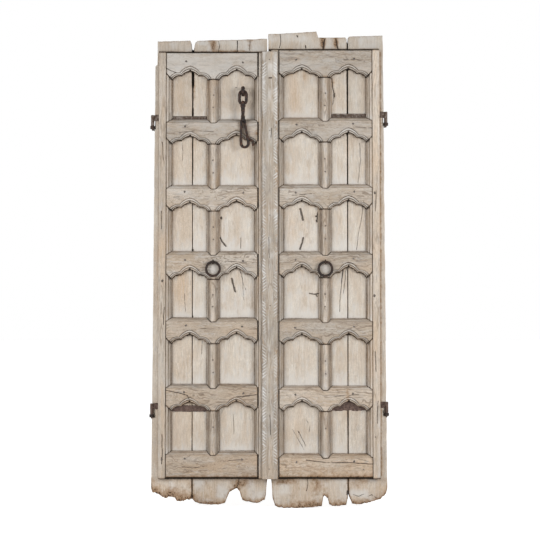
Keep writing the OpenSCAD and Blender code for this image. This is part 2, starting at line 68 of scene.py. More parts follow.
# Even columns and rows of a plank's mesh, the share of its back's faces that is kept, how deep its cracks
# are, and the angle from which a board's edges are shaded as sharp
PLANK_COLUMNS, PLANK_ROWS = {"inner": 62, "outer": 40}, 220
BACK_KEPT, PANEL_CRACK, BOARD_SHARP = 0.12, 5.5, 38
PLANK_JOINT = {"left": 346, "right": 354}
EDGE_FOOT, EDGE_TOP = 529.5, 514.5
STILE_EDGE, STILE_SHADE_FROM, BARE_FROM = 496.5, 470, 498
# Lean of the right leaf's meeting edge, and the piece broken out of the left leaf's top corner
RIGHT_LEAN = 13
BREAK_WIDE, BREAK_HIGH = 9, 54
RAILS, RAIL_HIGH = 7, 112
BOTTOM_RAIL_TOP = {"left": 255, "right": 243}
RAIL_PITCH = {"left": 298, "right": 302}
RAIL_TOPS = {side: [BOTTOM_RAIL_TOP[side] + RAIL_PITCH[side] * (RAILS - k) for k in range(1, RAILS + 1)]
             for side in LEAVES}
BOTTOM_RAIL_FOOT = 141
OPENING_IN, OPENING_OUT = 65.5, 437.5
MUNTIN_X, MUNTIN_HALF = 251.5, 28
STRAP_HEIGHTS = {"left": (1753, 455), "right": (1768, 461)}
# How far the lower and upper edges of each strap hang down in the panels. The drop begins behind the
# hinge stile and is full after its run.
STRAP_DROPS = {"left": [(0, 6), (12, 9)], "right": [(0, 9), (13, 0)]}
DROP_FROM, DROP_RUN = 470, 20
# Recess for a strap, the deeper one for its pin, and the slot in the edge for the eye
RECESS_HALF, RECESS_DEEP, RECESS_END = 14.3, 6.4, 248.5
PIN_RECESS_TOP, PIN_RECESS_DEEP, PIN_RECESS_FROM = 13.8, 17.5, 512.4
EYE_SLOT_TOP, EYE_SLOT_FOOT, EYE_SLOT_FROM = 33.5, 51.5, 518.5
# Outlines of the broken ends, as [share of the width from the meeting side, height]; tops are counted
# from the top rail.
PLANK_FEET = {
    "left_inner": [(0, 131), (0.015, 60), (0.03, 38), (0.14, 22), (0.27, 30), (0.33, 37), (0.35, 55),
                   (0.37, 76), (0.405, 89), (0.44, 83), (0.5, 71), (0.54, 44), (0.56, 24), (0.62, 18),
                   (0.75, 16), (0.9, 19), (0.96, 26), (1, 39)],
    "left_outer": [(0, 39), (0.12, 37), (0.26, 30), (0.36, 32), (0.41, 46), (0.53, 53), (0.65, 44),
                   (0.85, 67), (0.97, 71), (1, 86)],
    "right_inner": [(0, 133), (0.018, 47), (0.05, 14), (0.1, 4), (0.22, 0.4), (0.56, 5), (0.66, 8),
                    (0.68, 47), (0.695, 58), (0.74, 43), (0.76, 17), (0.8, 10), (0.89, 11), (0.98, 15),
                    (1, 45)],
    "right_outer": [(0, 62), (0.05, 40), (0.1, 19), (0.25, 17), (0.52, 24), (0.84, 43), (0.97, 65), (1, 92)],
}
PLANK_TOPS = {
    "left_inner": [(0, 71), (0.5, 66), (0.975, 62), (1, 54)],
    "left_outer": [(0, 54), (0.02, 63), (1, 58)],
    "right_inner": [(0, 80), (0.15, 82), (0.62, 92), (0.64, 64), (0.985, 65), (1, 59)],
    "right_outer": [(0, 62), (0.03, 69), (1, 74)],
}
# Open joint between the planks as [height, width at the face]
JOINT_GAPS = {
    "left": [(0, 4), (255, 4), (300, 2.4), (1440, 2.4), (1500, 4), (1760, 5), (1768, 8), (1796, 7),
             (1800, 4.5), (1888, 5), (1900, 11), (1960, 11), (2000, 7), (2040, 9), (2068, 10), (2090, 16),
             (2101, 22), (2120, 26)],
    "right": [(0, 5), (40, 4), (260, 3.4), (430, 5), (470, 3), (1100, 3), (1500, 4), (1780, 5), (1960, 7),
              (2060, 5), (2110, 6), (2140, 12)],
}
# Share of that gap which is taken from the inner plank, and where it opens to the back over the top rail
INNER_SHARE, OUTER_SHARE = 0.62, 0.38
OPEN_BACK = {"left": 24, "right": 44}
# Gashes, cracks and knots in the panels, as polylines in x, z with a half width
PANEL_MARKS = {
    "left": [
        ([(-222, 1211), (-212, 1195), (-195, 1173)], 3.2), ([(-168, 1027), (-165, 1012), (-162, 1003)], 3.4),
        ([(-160, 996), (-157, 984), (-153, 968)], 3.4), ([(-217, 1302), (-216, 1298)], 4),
        ([(-128, 1211), (-127, 1162)], 0.8),
        ([(-134, 1080), (-124, 1040), (-118, 1000), (-105, 977)], 0.8),
        ([(-121, 1030), (-119, 985), (-114, 930)], 0.6),
        ([(-144, 2114), (-143, 2084), (-146, 2048)], 1.8), ([(-134, 140), (-137, 112), (-147, 90)], 1.2),
        ([(-393, 1640), (-391, 1560)], 0.6), ([(-87, 2110), (-90, 2060)], 0.7),
        ([(-300, 760), (-303, 690)], 0.6), ([(-160, 420), (-158, 330)], 0.6),
        ([(-345, 1157), (-345, 1152)], 3.6), ([(-345, 859), (-345, 855)], 3),
        ([(-231, 2103), (-225, 2078), (-232, 2052)], 0.7), ([(-380, 960), (-376, 880)], 0.6),
    ],
    "right": [
        ([(140, 1342), (146, 1318), (153, 1292)], 3.8), ([(154, 1211), (147, 1185), (139, 1160)], 3.4),
        ([(183, 961), (203, 957), (223, 960)], 2.4), ([(208, 958), (217, 947)], 2.2),
        ([(211, 1309), (212, 1308)], 3.6), ([(216, 1289), (216, 1287)], 3.6),
        ([(217, 1324), (217, 1283)], 2), ([(421, 1355), (416, 1300), (401, 1220), (394, 1157)], 0.7),
        ([(408, 1640), (412, 1560), (400, 1460)], 0.6), ([(333, 1081), (327, 1010)], 1.6),
        ([(327, 1010), (322, 960), (316, 878)], 0.9), ([(347, 1080), (340, 1010), (334, 960)], 0.8),
        ([(283, 1935), (287, 1890), (293, 1862)], 1.5), ([(294, 1864), (293, 1852)], 4.2),
        ([(292, 1850), (286, 1815)], 0.9),
        ([(50, 2134), (53, 2100), (46, 2072)], 1.2), ([(252, 2112), (246, 2080), (243, 2060)], 2.6),
        ([(302, 2113), (309, 2075), (314, 2060)], 2), ([(171, 139), (173, 110), (166, 76)], 1),
        ([(377, 60), (400, 52), (420, 62), (440, 52), (460, 60), (482, 44)], 1),
        ([(126, 2128), (128, 2124)], 2.6), ([(164, 2082), (165, 2072)], 2.2),
        ([(354, 1990), (354, 1975)], 3.6),
        ([(103, 352), (128, 310), (158, 258)], 0.7), ([(127, 345), (134, 334), (166, 275)], 0.8),
        ([(131, 340), (133, 336)], 2), ([(168, 392), (183, 365), (177, 338)], 0.6),
        ([(352, 1690), (352, 1676)], 4.2), ([(440, 1920), (446, 1830)], 0.6), ([(352, 74), (352, 62)], 5),
    ],
}
# Warm and brown stains as [x, z, half width, half height, how warm, how brown]
STAINS = {
    "left": [(-254, 2078, 20, 34, 0.9, 0.65), (-215, 2052, 40, 12, 0.6, 0.7), (-87, 2082, 14, 36, 0.6, 0.4),
             (-150, 2056, 60, 9, 0.4, 0.6), (-395, 985, 42, 110, 1.0, 0), (-330, 1690, 26, 150, 0.5, 0),
             (-440, 60, 90, 50, 0.9, 0.3), (-320, 95, 50, 60, 0.8, 0.15), (-118, 112, 40, 22, 0.3, 0.55),
             (-340, 1870, 9, 60, 0.6, 0.45), (-100, 1740, 60, 200, 0.5, 0), (-120, 1725, 34, 24, 0.9, 0.42),
             (-56, 1681, 15, 9, 1.0, 0.75), (-270, 72, 75, 50, 1.0, 0.12)],
    "right": [(243, 2092, 13, 30, 0.8, 0.95), (302, 2094, 15, 26, 0.4, 0.7), (161, 1945, 12, 34, 0.9, 0.35),
              (286, 1918, 16, 20, 0.9, 0.35), (115, 1860, 26, 170, 0.8, 0), (100, 1230, 22, 110, 0.9, 0.05),
              (70, 116, 60, 18, 0.7, 0.45), (215, 104, 30, 40, 0.7, 0.5), (190, 24, 60, 14, 0.6, 0.22),
              (420, 112, 70, 30, 0.8, 0.2), (352, 470, 10, 80, 0.6, 0.5), (120, 420, 40, 90, 0.4, 0)],
}


def stain_masks(side, x, z):
    """How warm and how brown a point of a plank is; x and z as in the stains' list."""
    warm, brown = 0 * x, 0 * x
    for sx, sz, wide, high, how_warm, how_brown in STAINS[side]:
        share = np.exp(-((x - sx) / wide) ** 2 - ((z - sz) / high) ** 2)
        warm, brown = np.maximum(warm, how_warm * share), np.maximum(brown, how_brown * share)
    return warm, brown


def spots(x, z):
    """Points on a board's face, as the noise takes them."""
    return np.stack([x, 0 * x, z], -1)


def noise(points, cell, seed):
    """Smooth noise from -1 to 1 at points of shape (..., 3), with cells of the given size."""
    p = points / np.asarray(cell, float) + seed * 17.31
    whole = np.floor(p).astype(np.int64)
    part = p - whole
    part = part * part * (3 - 2 * part)

    def corner(dx, dy, dz):
        h = ((whole[..., 0] + dx) * 374761393 + (whole[..., 1] + dy) * 668265263
             + (whole[..., 2] + dz) * 144269504 + seed * 97463)
        h = (h ^ (h >> 13)) * 1274126177
        return ((h ^ (h >> 16)) & 0xFFFF) / 32767.5 - 1

    def lerp(a, b, t):
        return a + (b - a) * t

    fx, fy, fz = part[..., 0], part[..., 1], part[..., 2]
    low = lerp(lerp(corner(0, 0, 0), corner(1, 0, 0), fx), lerp(corner(0, 1, 0), corner(1, 1, 0), fx), fy)
    high = lerp(lerp(corner(0, 0, 1), corner(1, 0, 1), fx), lerp(corner(0, 1, 1), corner(1, 1, 1), fx), fy)
    return lerp(low, high, fz)


def scratch_mask(x, z, marks, seed):
    """1 in the middle of each gash or crack, falling to 0 at its edge; its line wavers a little."""
    mask = np.zeros_like(x)
    spot = spots(x, z)
    waver = noise(spot, (9, 9, 14), seed) * 0.8 + noise(spot, (30, 30, 34), seed + 1) * 2
    ragged = 1 + 0.3 * noise(spot, (7, 7, 7), seed + 2)
    for line, half in marks:
        for (x0, z0), (x1, z1) in zip(line, line[1:]):
            run = np.array([x1 - x0, z1 - z0])
            t = np.clip(((x - x0) * run[0] + (z - z0) * run[1]) / max(run @ run, 1e-6), 0, 1)
            away = np.hypot(x - x0 - t * run[0] + waver, z - z0 - t * run[1])
            mask = np.maximum(mask, np.clip(1.6 - away / (half * ragged), 0, 1))
    return mask


def board(name, front, marks, back=None, back_marks=None, back_y=0.0, layers=3, rough=0.0, seed=1):
    """A closed board: a front grid (rows, columns, 3), walls round its rim and a back, flat or a grid."""
    rows, cols = front.shape[:2]
    index = np.arange(rows * cols).reshape(rows, cols)
    ring = np.concatenate([index[0, :-1], index[:-1, -1], index[-1, :0:-1], index[:0:-1, 0]])
    points = [front.reshape(-1, 3)]
    values = {k: [np.broadcast_to(v, (rows, cols)).ravel()] for k, v in marks.items()}

    def quads(i):
        return np.stack([i[:-1, :-1], i[:-1, 1:], i[1:, 1:], i[1:, :-1]], -1).reshape(-1, 4)

    faces = [quads(index)]
    rim = points[0][ring]
    if back is None:
        far = rim.copy()
        far[:, 1] = back_y
    else:
        far = back.reshape(-1, 3)[ring]
    count, before = rows * cols, ring
    for layer in range(1, layers + 1):
        t = layer / layers
        last = layer == layers
        if last and back is not None:
            points.append(back.reshape(-1, 3))
            for k in marks:
                values[k].append(np.broadcast_to(back_marks[k], (rows, cols)).ravel())
            now = ring + count
            faces.append(quads(index)[:, ::-1] + count)
        else:
            level = rim + (far - rim) * t
            if rough and not last:
                level = level + rough * np.stack([noise(level, 9, seed + 3), 0 * level[:, 0],
                                                  noise(level, 9, seed + 5)], -1)
            points.append(level)
            for k, v in marks.items():
                values[k].append(np.broadcast_to(v, (rows, cols)).ravel()[ring])
            now = np.arange(count, count + len(ring))
        count += len(points[-1])
        faces.append(np.stack([before, now, np.roll(now, -1), np.roll(before, -1)], -1))
        before = now
    polygons = np.concatenate(faces).tolist()
    if back is None:
        polygons.append(before[::-1].tolist())
    return finish_mesh(name, np.concatenate(points), polygons,
                       {k: np.concatenate(v) for k, v in values.items()}, BOARD_SHARP)


def finish_mesh(name, points, polygons, values, sharp):
    """Makes the object in metres, joins doubled corners, turns the faces outwards and shades it."""
    mesh = bpy.data.meshes.new(name)
    mesh.from_pydata((np.asarray(points, float) * 0.001).tolist(), [], polygons)
    for key, value in values.items():
        layer = mesh.attributes.new(key, "FLOAT", "POINT")
        layer.data.foreach_set("value", np.ascontiguousarray(value, np.float32))
    work = bmesh.new()
    work.from_mesh(mesh)
    bmesh.ops.remove_doubles(work, verts=work.verts, dist=0.00004)
    bmesh.ops.dissolve_degenerate(work, edges=work.edges, dist=0.00002)
    bmesh.ops.recalc_face_normals(work, faces=work.faces)
    work.to_mesh(mesh)
    work.free()
    mesh.shade_smooth()
    mesh.set_sharp_from_angle(angle=math.radians(sharp))
    piece = bpy.data.objects.new(name, mesh)
    bpy.context.scene.collection.objects.link(piece)
    return piece


def split_open(piece, lines, deep, seed):
    """Cuts gashes and cracks into a board's face, on a mesh that is made finer along them."""
    work = bmesh.new()
    work.from_mesh(piece.data)
    faces = [f for f in work.faces if f.normal.y < -0.4]
    at = np.array([f.calc_center_median() for f in faces]) * 1000
    close = scratch_mask(at[:, 0], at[:, 2], [(line, half + 4) for line, half in lines], seed) > 0
    edges = {e for f, is_close in zip(faces, close) if is_close for e in f.edges}
    if edges:
        bmesh.ops.subdivide_edges(work, edges=list(edges), cuts=3, use_grid_fill=True)
        work.normal_update()
        gash = work.verts.layers.float.get("gash") or work.verts.layers.float.new("gash")
        verts = [v for v in work.verts if v.normal.y < -0.3]
        at = np.array([v.co for v in verts]) * 1000
        for v, share in zip(verts, scratch_mask(at[:, 0], at[:, 2], lines, seed)):
            if share > 0:
                v[gash] = max(v[gash], share)
                v.co.y += deep * 0.001 * share
        work.to_mesh(piece.data)
    work.free()


def thin_out(piece, kept, group=""):
    """Leaves the given share of a piece's faces, taking them only from the named group of corners."""
    fewer = piece.modifiers.new("fewer", "DECIMATE")
    fewer.ratio, fewer.vertex_group = kept, group
    bpy.context.view_layer.update()
    mesh = bpy.data.meshes.new_from_object(piece.evaluated_get(bpy.context.evaluated_depsgraph_get()))
    piece.modifiers.clear()
    piece.vertex_groups.clear()
    piece.data, mesh.name = mesh, piece.name


def thin_back(piece, kept):
    """Leaves the given share of the faces on a board's back, which is plainer than its front."""
    work = bmesh.new()
    work.from_mesh(piece.data)
    work.normal_update()
    behind = [v.index for v in work.verts if all(f.normal.y > 0.3 for f in v.link_faces)]
    share = sum(f.normal.y > 0.3 for f in work.faces) / len(work.faces)
    work.free()
    piece.vertex_groups.new(name="behind").add(behind, 1, "REPLACE")
    thin_out(piece, 1 - share * (1 - kept), "behind")


def fit(piece, finish, body, node=None):
    """Gives a piece its finish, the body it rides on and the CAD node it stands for."""
    piece.data.materials.append(finish)
    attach(piece, body)
    if node:
        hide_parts(node)


def put(tree, kind, settings=None, **inputs):
    """Adds a node; inputs by name, or by number after a line, take a socket or a plain value."""
    made = tree.nodes.new(kind)
    for key, value in (settings or {}).items():
        setattr(made, key, value)
    for key, value in inputs.items():
        socket = made.inputs[int(key[1:])] if key[0] == "_" else made.inputs[key]
        if isinstance(value, bpy.types.NodeSocket):
            tree.links.new(value, socket)
        else:
            socket.default_value = value
    return made.outputs


def calc(tree, how, a, b=0.0, clamp=False):
    return put(tree, "ShaderNodeMath", {"operation": how, "use_clamp": clamp}, _0=a, _1=b)[0]


def fade(tree, value, low, high, to_low=0.0, to_high=1.0):
    """Value from low to high becomes to_low to to_high, smoothly and without running past."""
    return put(tree, "ShaderNodeMapRange", {"interpolation_type": "SMOOTHSTEP"}, _0=value, _1=low, _2=high,
               _3=to_low, _4=to_high)[0]


def tint(tree, share, under, over, how="MIX"):
    kind = {"data_type": "RGBA", "blend_type": how}
    return put(tree, "ShaderNodeMix", kind, _0=share, _6=under, _7=over)[2]


def speckle(tree, place, scale, detail=3.0, rough=0.55):
    return put(tree, "ShaderNodeTexNoise", None, Vector=place, Scale=scale, Detail=detail,
               Roughness=rough)["Fac"]


def stretch(tree, place, x, y, z):
    return put(tree, "ShaderNodeVectorMath", {"operation": "MULTIPLY"}, _0=place, _1=(x, y, z))[0]


def effect(name, ins, outs):
    """A shader node group with named sockets; gives its tree, its inputs and a way to set its outputs."""
    tree = bpy.data.node_groups.new(name, "ShaderNodeTree")
    kinds = {"v": "NodeSocketVector", "c": "NodeSocketColor", "f": "NodeSocketFloat"}
    for key, kind in ins.items():
        tree.interface.new_socket(key, in_out="INPUT", socket_type=kinds[kind])
    for key, kind in outs.items():
        tree.interface.new_socket(key, in_out="OUTPUT", socket_type=kinds[kind])
    source = tree.nodes.new("NodeGroupInput").outputs
    sink = tree.nodes.new("NodeGroupOutput").inputs
    return tree, source, lambda key, value: tree.links.new(value, sink[key])


def mark(tree, key):
    """A mask that is written on the mesh."""
    return put(tree, "ShaderNodeAttribute", {"attribute_name": key})["Fac"]


# Grain of a sawn board: its length runs along Z of the given place. Figure is the broad colour of the
# board, Lines the dark year rings and streaks, Chalk the pale streaks, Fibre the fine open pores.
grain, given, give = effect("sawn_grain", {"Place": "v", "Wave": "f"},
                            {"Figure": "f", "Lines": "f", "Chalk": "f", "Fibre": "f"})
swing = calc(grain, "ADD", speckle(grain, stretch(grain, given["Place"], 9, 9, 3.2), 1, 2),
             calc(grain, "MULTIPLY", speckle(grain, stretch(grain, given["Place"], 16, 16, 15), 1, 2), 0.5))
swing = calc(grain, "MULTIPLY", calc(grain, "SUBTRACT", swing, 0.75), given["Wave"])
bent = put(grain, "ShaderNodeVectorMath", {"operation": "ADD"}, _0=given["Place"],
           _1=put(grain, "ShaderNodeCombineXYZ", None, X=swing, Y=swing)[0])[0]
give("Figure", fade(grain, speckle(grain, stretch(grain, bent, 26, 26, 2.6), 1, 4, 0.6), 0.32, 0.7))
streaks = fade(grain, speckle(grain, stretch(grain, bent, 170, 170, 8), 1, 4, 0.65), 0.53, 0.66, 0, 0.8)
rings = calc(grain, "MULTIPLY", speckle(grain, stretch(grain, bent, 15, 15, 1.7), 1, 3, 0.5), 95)
rings = fade(grain, calc(grain, "SINE", rings), 0.45, 0.97)
shown = fade(grain, speckle(grain, stretch(grain, given["Place"], 9, 9, 5), 1, 2), 0.42, 0.6, 0.15, 1)
give("Lines", calc(grain, "MAXIMUM", streaks, calc(grain, "MULTIPLY", rings, shown)))
give("Chalk", fade(grain, speckle(grain, stretch(grain, bent, 130, 130, 6), 1, 3, 0.6), 0.54, 0.7))
give("Fibre", speckle(grain, stretch(grain, bent, 620, 620, 26), 1, 2, 0.6))

# Old bleached wood: the grain, grey and white patches, tan stains along the joints, dark dirt in cracks, and
# near-black painted shade with dirt in corners and along the joints. The masks are written on the mesh:
# joint, gash, rim, warm, wash and tone;
# joint carries painted shade with dirt, rim also a painted shadow beside one stile, and tone painted light
# and shade on some pieces.
wood, given, give = effect(
    "old_bleached_wood",
    {"Place": "v", "Pale": "c", "Tan": "c", "Line colour": "c", "Wave": "f", "Blotch": "f", "Lines": "f",
     "Fibre": "f", "Wash": "f", "Grey": "f"},
    {"Colour": "c", "Roughness": "f", "Height": "f"})
cut = put(wood, "ShaderNodeGroup", {"node_tree": grain}, Place=given["Place"], Wave=given["Wave"])
blotch = fade(wood, speckle(wood, stretch(wood, given["Place"], 17, 17, 8), 1, 4, 0.62), 0.34, 0.66)
mottle = speckle(wood, stretch(wood, given["Place"], 38, 38, 18), 1, 5, 0.65)
specks = speckle(wood, given["Place"], 150, 3)
crumbs = speckle(wood, given["Place"], 420, 2)
aside = put(wood, "ShaderNodeVectorMath", {"operation": "ADD"}, _0=given["Place"], _1=(3.7, 1.9, 8.3))[0]
glow = fade(wood, speckle(wood, stretch(wood, aside, 12, 12, 4.5), 1, 4, 0.6), 0.45, 0.7)


def share_of(amount, by):
    return calc(wood, "MULTIPLY", amount, by)


def around(middle, value, reach):
    """A mask moved up and down by noise, so that its edge is broken."""
    return calc(wood, "ADD", middle, share_of(calc(wood, "SUBTRACT", value, 0.5), reach))


def darken(colour, value):
    grey = put(wood, "ShaderNodeCombineColor", None, Red=value, Green=value, Blue=value)[0]
    return tint(wood, 1.0, colour, grey, "MULTIPLY")


figure = put(wood, "ShaderNodeMix", {"data_type": "FLOAT"}, _0=given["Blotch"], _2=cut["Figure"],
             _3=blotch)[0]
colour = tint(wood, figure, given["Pale"], given["Tan"])
colour = tint(wood, share_of(fade(wood, mottle, 0.48, 0.68), given["Grey"]), colour, (0.39, 0.37, 0.35, 1))
stained = share_of(mark(wood, "warm"), fade(wood, mottle, 0.3, 0.6, 0.3, 0.8))
warmth = calc(wood, "ADD", share_of(glow, 0.2), stained)
colour = tint(wood, calc(wood, "MINIMUM", warmth, 0.8), colour, (0.56, 0.42, 0.295, 1))
colour = tint(wood, share_of(cut["Lines"], given["Lines"]), colour, given["Line colour"])
colour = tint(wood, share_of(cut["Chalk"], share_of(given["Wash"], 0.55)), colour, (0.68, 0.66, 0.63, 1))
pores = share_of(fade(wood, cut["Fibre"], 0.3, 0.7, 1, -1), given["Fibre"])
colour = darken(colour, calc(wood, "SUBTRACT", 1, pores))
colour = darken(colour, fade(wood, crumbs, 0.25, 0.75, 0.88, 1.12))
colour = darken(colour, fade(wood, specks, 0.66, 0.78, 1, 0.72))
limed = around(mark(wood, "wash"), mottle, 1.6)
colour = tint(wood, share_of(fade(wood, limed, 0.2, 0.95), given["Wash"]), colour, (0.68, 0.655, 0.62, 1))
colour = tint(wood, fade(wood, limed, 1.0, 1.7, 0, 0.85), colour, (0.8, 0.79, 0.77, 1))
near_joint = around(mark(wood, "joint"), specks, 0.6)
colour = tint(wood, fade(wood, near_joint, 0.12, 0.8, 0, 0.72), colour,
              tint(wood, glow, (0.25, 0.18, 0.125, 1), (0.36, 0.225, 0.12, 1)))
# Rot, brown stains and rust from the rim mask, and on one plank a painted shadow beside the hinge stile.
rot_and_shadow = around(mark(wood, "rim"), speckle(wood, given["Place"], 62, 5, 0.62), 1.5)
colour = tint(wood, fade(wood, rot_and_shadow, 0.2, 1.05, 0, 0.85), colour, (0.27, 0.155, 0.075, 1))
colour = tint(wood, share_of(fade(wood, rot_and_shadow, 0.75, 1.1), fade(wood, specks, 0.45, 0.6)), colour,
              (0.06, 0.034, 0.02, 1))
gash = fade(wood, mark(wood, "gash"), 0.25, 0.8)
colour = tint(wood, share_of(gash, fade(wood, crumbs, 0.3, 0.7, 0.96, 0.72)), colour, (0.06, 0.045, 0.036, 1))
# Near-black where the joint mask is strong: painted shade in corners, along the framing and in open joints,
# with dirt.
dirt_and_shade = fade(wood, near_joint, 0.62, 0.98)
colour = tint(wood, share_of(dirt_and_shade, 0.95), colour, (0.026, 0.018, 0.012, 1))
give("Colour", darken(colour, mark(wood, "tone")))
give("Roughness", fade(wood, mottle, 0.2, 0.8, 0.72, 0.92))
give("Height", calc(wood, "SUBTRACT", share_of(cut["Fibre"], 0.8),
                    calc(wood, "ADD", share_of(cut["Lines"], 0.7), calc(wood, "MAXIMUM", dirt_and_shade, gash))))


def make_finish(name, group, values, depth, strength, gloss, across=False):
    """A material with the look of a node group; across says that the grain runs along X and not up."""
    finish = bpy.data.materials.new(name)
    finish.use_nodes = True
    tree = finish.node_tree
    shader = tree.nodes["Principled BSDF"].inputs
    place = put(tree, "ShaderNodeTexCoord")["Object"]
    if across:
        part = put(tree, "ShaderNodeSeparateXYZ", None, Vector=place)
        place = put(tree, "ShaderNodeCombineXYZ", None, X=part["Z"], Y=part["Y"], Z=part["X"])[0]
    look = put(tree, "ShaderNodeGroup", {"node_tree": group}, Place=place, **values)
    for key, socket in (("Colour", "Base Color"), ("Roughness", "Roughness"), ("Metallic", "Metallic")):
        if key in look:
            tree.links.new(look[key], shader[socket])
    shader["Specular IOR Level"].default_value = gloss
    bump = put(tree, "ShaderNodeBump", None, Strength=strength, Distance=depth, Height=look["Height"])
    tree.links.new(bump["Normal"], shader["Normal"])
    return finish


def wood_finish(name, across, values, depth):
    return make_finish(name, wood, values, depth, 0.55, 0.25, across)


# The rails' arches, whose shade lies on the planks: half the span, and the cusp and the point as seen
# from the springing. Two round lobes make each half of an arch.
HALF_SPAN = 81
CUSP, APEX = (42, 22), (81, 45)


def lobe(p, q, radius):
    """Middle and radius of the arc from p to q."""
    chord = np.subtract(q, p)
    half = np.hypot(*chord) / 2
    square = np.array([chord[1], -chord[0]])
    return np.add(p, q) / 2 + math.sqrt(radius ** 2 - half ** 2) * square / (2 * half), radius


LOBES = [lobe((0, 0), CUSP, 38), lobe(CUSP, APEX, 62)]
ARCH_MIDDLES = (OPENING_IN + HALF_SPAN, OPENING_OUT - HALF_SPAN)
# How much deeper each arched rail was cut than the drawing, and the heights of its arches on the meeting
# side and on the hinge side
ARCH_CUTS = {"left": [(7, 45, 41), (1, 42, 38), (5, 45, 39), (14, 52, 45), (4, 47, 42), (5.5, 42, 40)],
             "right": [(9, 37, 40), (0, 45, 45), (0, 38, 41), (6.5, 51, 50), (2.5, 43, 47), (0, 45, 45)]}


def arch_height(x, grow, rises):
    """Height of the arched edge over the rail's foot, drawn out by grow; below 0 between the arches."""
    ways = [np.abs(x - m) for m in ARCH_MIDDLES]
    away, rise = np.minimum(*ways), np.where(ways[0] < ways[1], *rises)
    s = HALF_SPAN - away * HALF_SPAN / (HALF_SPAN + 0.8 * grow)
    tops = []
    for (cx, cz), radius in LOBES:
        under = radius ** 2 - (s - cx) ** 2
        tops.append(np.where(under > 0, cz + np.sqrt(np.maximum(under, 0)), -99))
    return np.max(tops, axis=0) * (rise + grow) / APEX[1]


def in_panel(x):
    """0 at a strap's pin and 1 in the panels; it changes behind the hinge stile."""
    return np.clip((DROP_FROM - np.abs(x)) / DROP_RUN, 0, 1)


def strap_drop(side, level, x, edge):
    """How far a strap hangs down at x; level 0 is the upper strap, edge 0 the lower edge."""
    return STRAP_DROPS[side][level][edge] * in_panel(x)


def rail_foot(side, k):
    """Height of the lower edge of rail k."""
    return BOTTOM_RAIL_FOOT if k == RAILS else RAIL_TOPS[side][k - 1] - RAIL_HIGH - ARCH_CUTS[side][k - 1][0]


def panel_masks(side, x, z):
    """How dark a point of a plank is painted along the framing round its panel, as painted shade with dirt,
    with painted shadow lines under the bottom rail and over the top rail; and how near it is to the panel's
    sill.
    """
    near = np.full(x.shape, 99.0)
    sill = np.full(x.shape, 999.0)
    uprights = (OPENING_IN, MUNTIN_X - MUNTIN_HALF, MUNTIN_X + MUNTIN_HALF, OPENING_OUT)
    sides = np.min([np.abs(x - e) for e in uprights], axis=0)
    for k in range(1, RAILS):
        arch = np.maximum(arch_height(x, 0, ARCH_CUTS[side][k - 1][1:]), 0)
        low, high = RAIL_TOPS[side][k], rail_foot(side, k) + arch
        inside = (z > low - 10) & (z < high + 10) & (x > OPENING_IN - 9) & (x < OPENING_OUT + 9)
        # Painted shade by the uprights, the rail below and the arched edge above; under an arch it reaches
        # further down on the lower rows.
        gap = np.min([sides, np.abs(z - low), np.maximum(high - z - 0.5 * k, 0) * 0.9], axis=0)
        near = np.where(inside, np.minimum(near, gap), near)
        sill = np.where(inside, np.minimum(sill, np.maximum(z - low, 0)), sill)
    top = RAIL_TOPS[side][0]
    framed = (z > BOTTOM_RAIL_FOOT - 8) & (z < top + 4)
    by_stile = framed & (x > STILE_SHADE_FROM)
    near = np.where(by_stile, np.minimum(near, np.abs(x - STILE_EDGE) * 0.8), near)
    # Painted shadow lines on the plank just under the bottom rail and just over the top rail.
    edge = np.full(x.shape, 99.0)
    for middle, half in ((BOTTOM_RAIL_FOOT - 4.5, 4.5), (top + 5, 5)):
        band = np.maximum(np.abs(z - middle) - half, 0)
        edge = np.where(x < BARE_FROM, np.minimum(edge, band), edge)
    near = np.minimum(near, edge * 0.6)
    uneven = np.clip(0.9 + 0.4 * noise(spots(x, z), (28, 28, 40), 5), 0.5, 1.2)
    joint = 0.3 * uneven * np.exp(-near / 9) + (0.45 + 0.4 * uneven) * np.exp(-near / 2.1)
    return joint + 0.4 * uneven * np.exp(-edge / 1.6), np.exp(-sill / 34)


# How light the planks' ends are below and above the framing
FOOT_TONES = {"left_inner": 0.9, "left_outer": 1.04, "right_inner": 0.97, "right_outer": 0.96}
HEAD_TONES = {"left_inner": 0.82, "left_outer": 0.8, "right_inner": 0.88, "right_outer": 0.83}

plank_finish = wood_finish("bleached_plank", False, {
    "Pale": (0.66, 0.605, 0.53, 1), "Tan": (0.53, 0.44, 0.35, 1), "Line colour": (0.34, 0.26, 0.19, 1),
    "Wave": 0.03, "Blotch": 0.7, "Lines": 0.33, "Fibre": 0.1, "Wash": 0.65, "Grey": 0.36}, 0.0005)


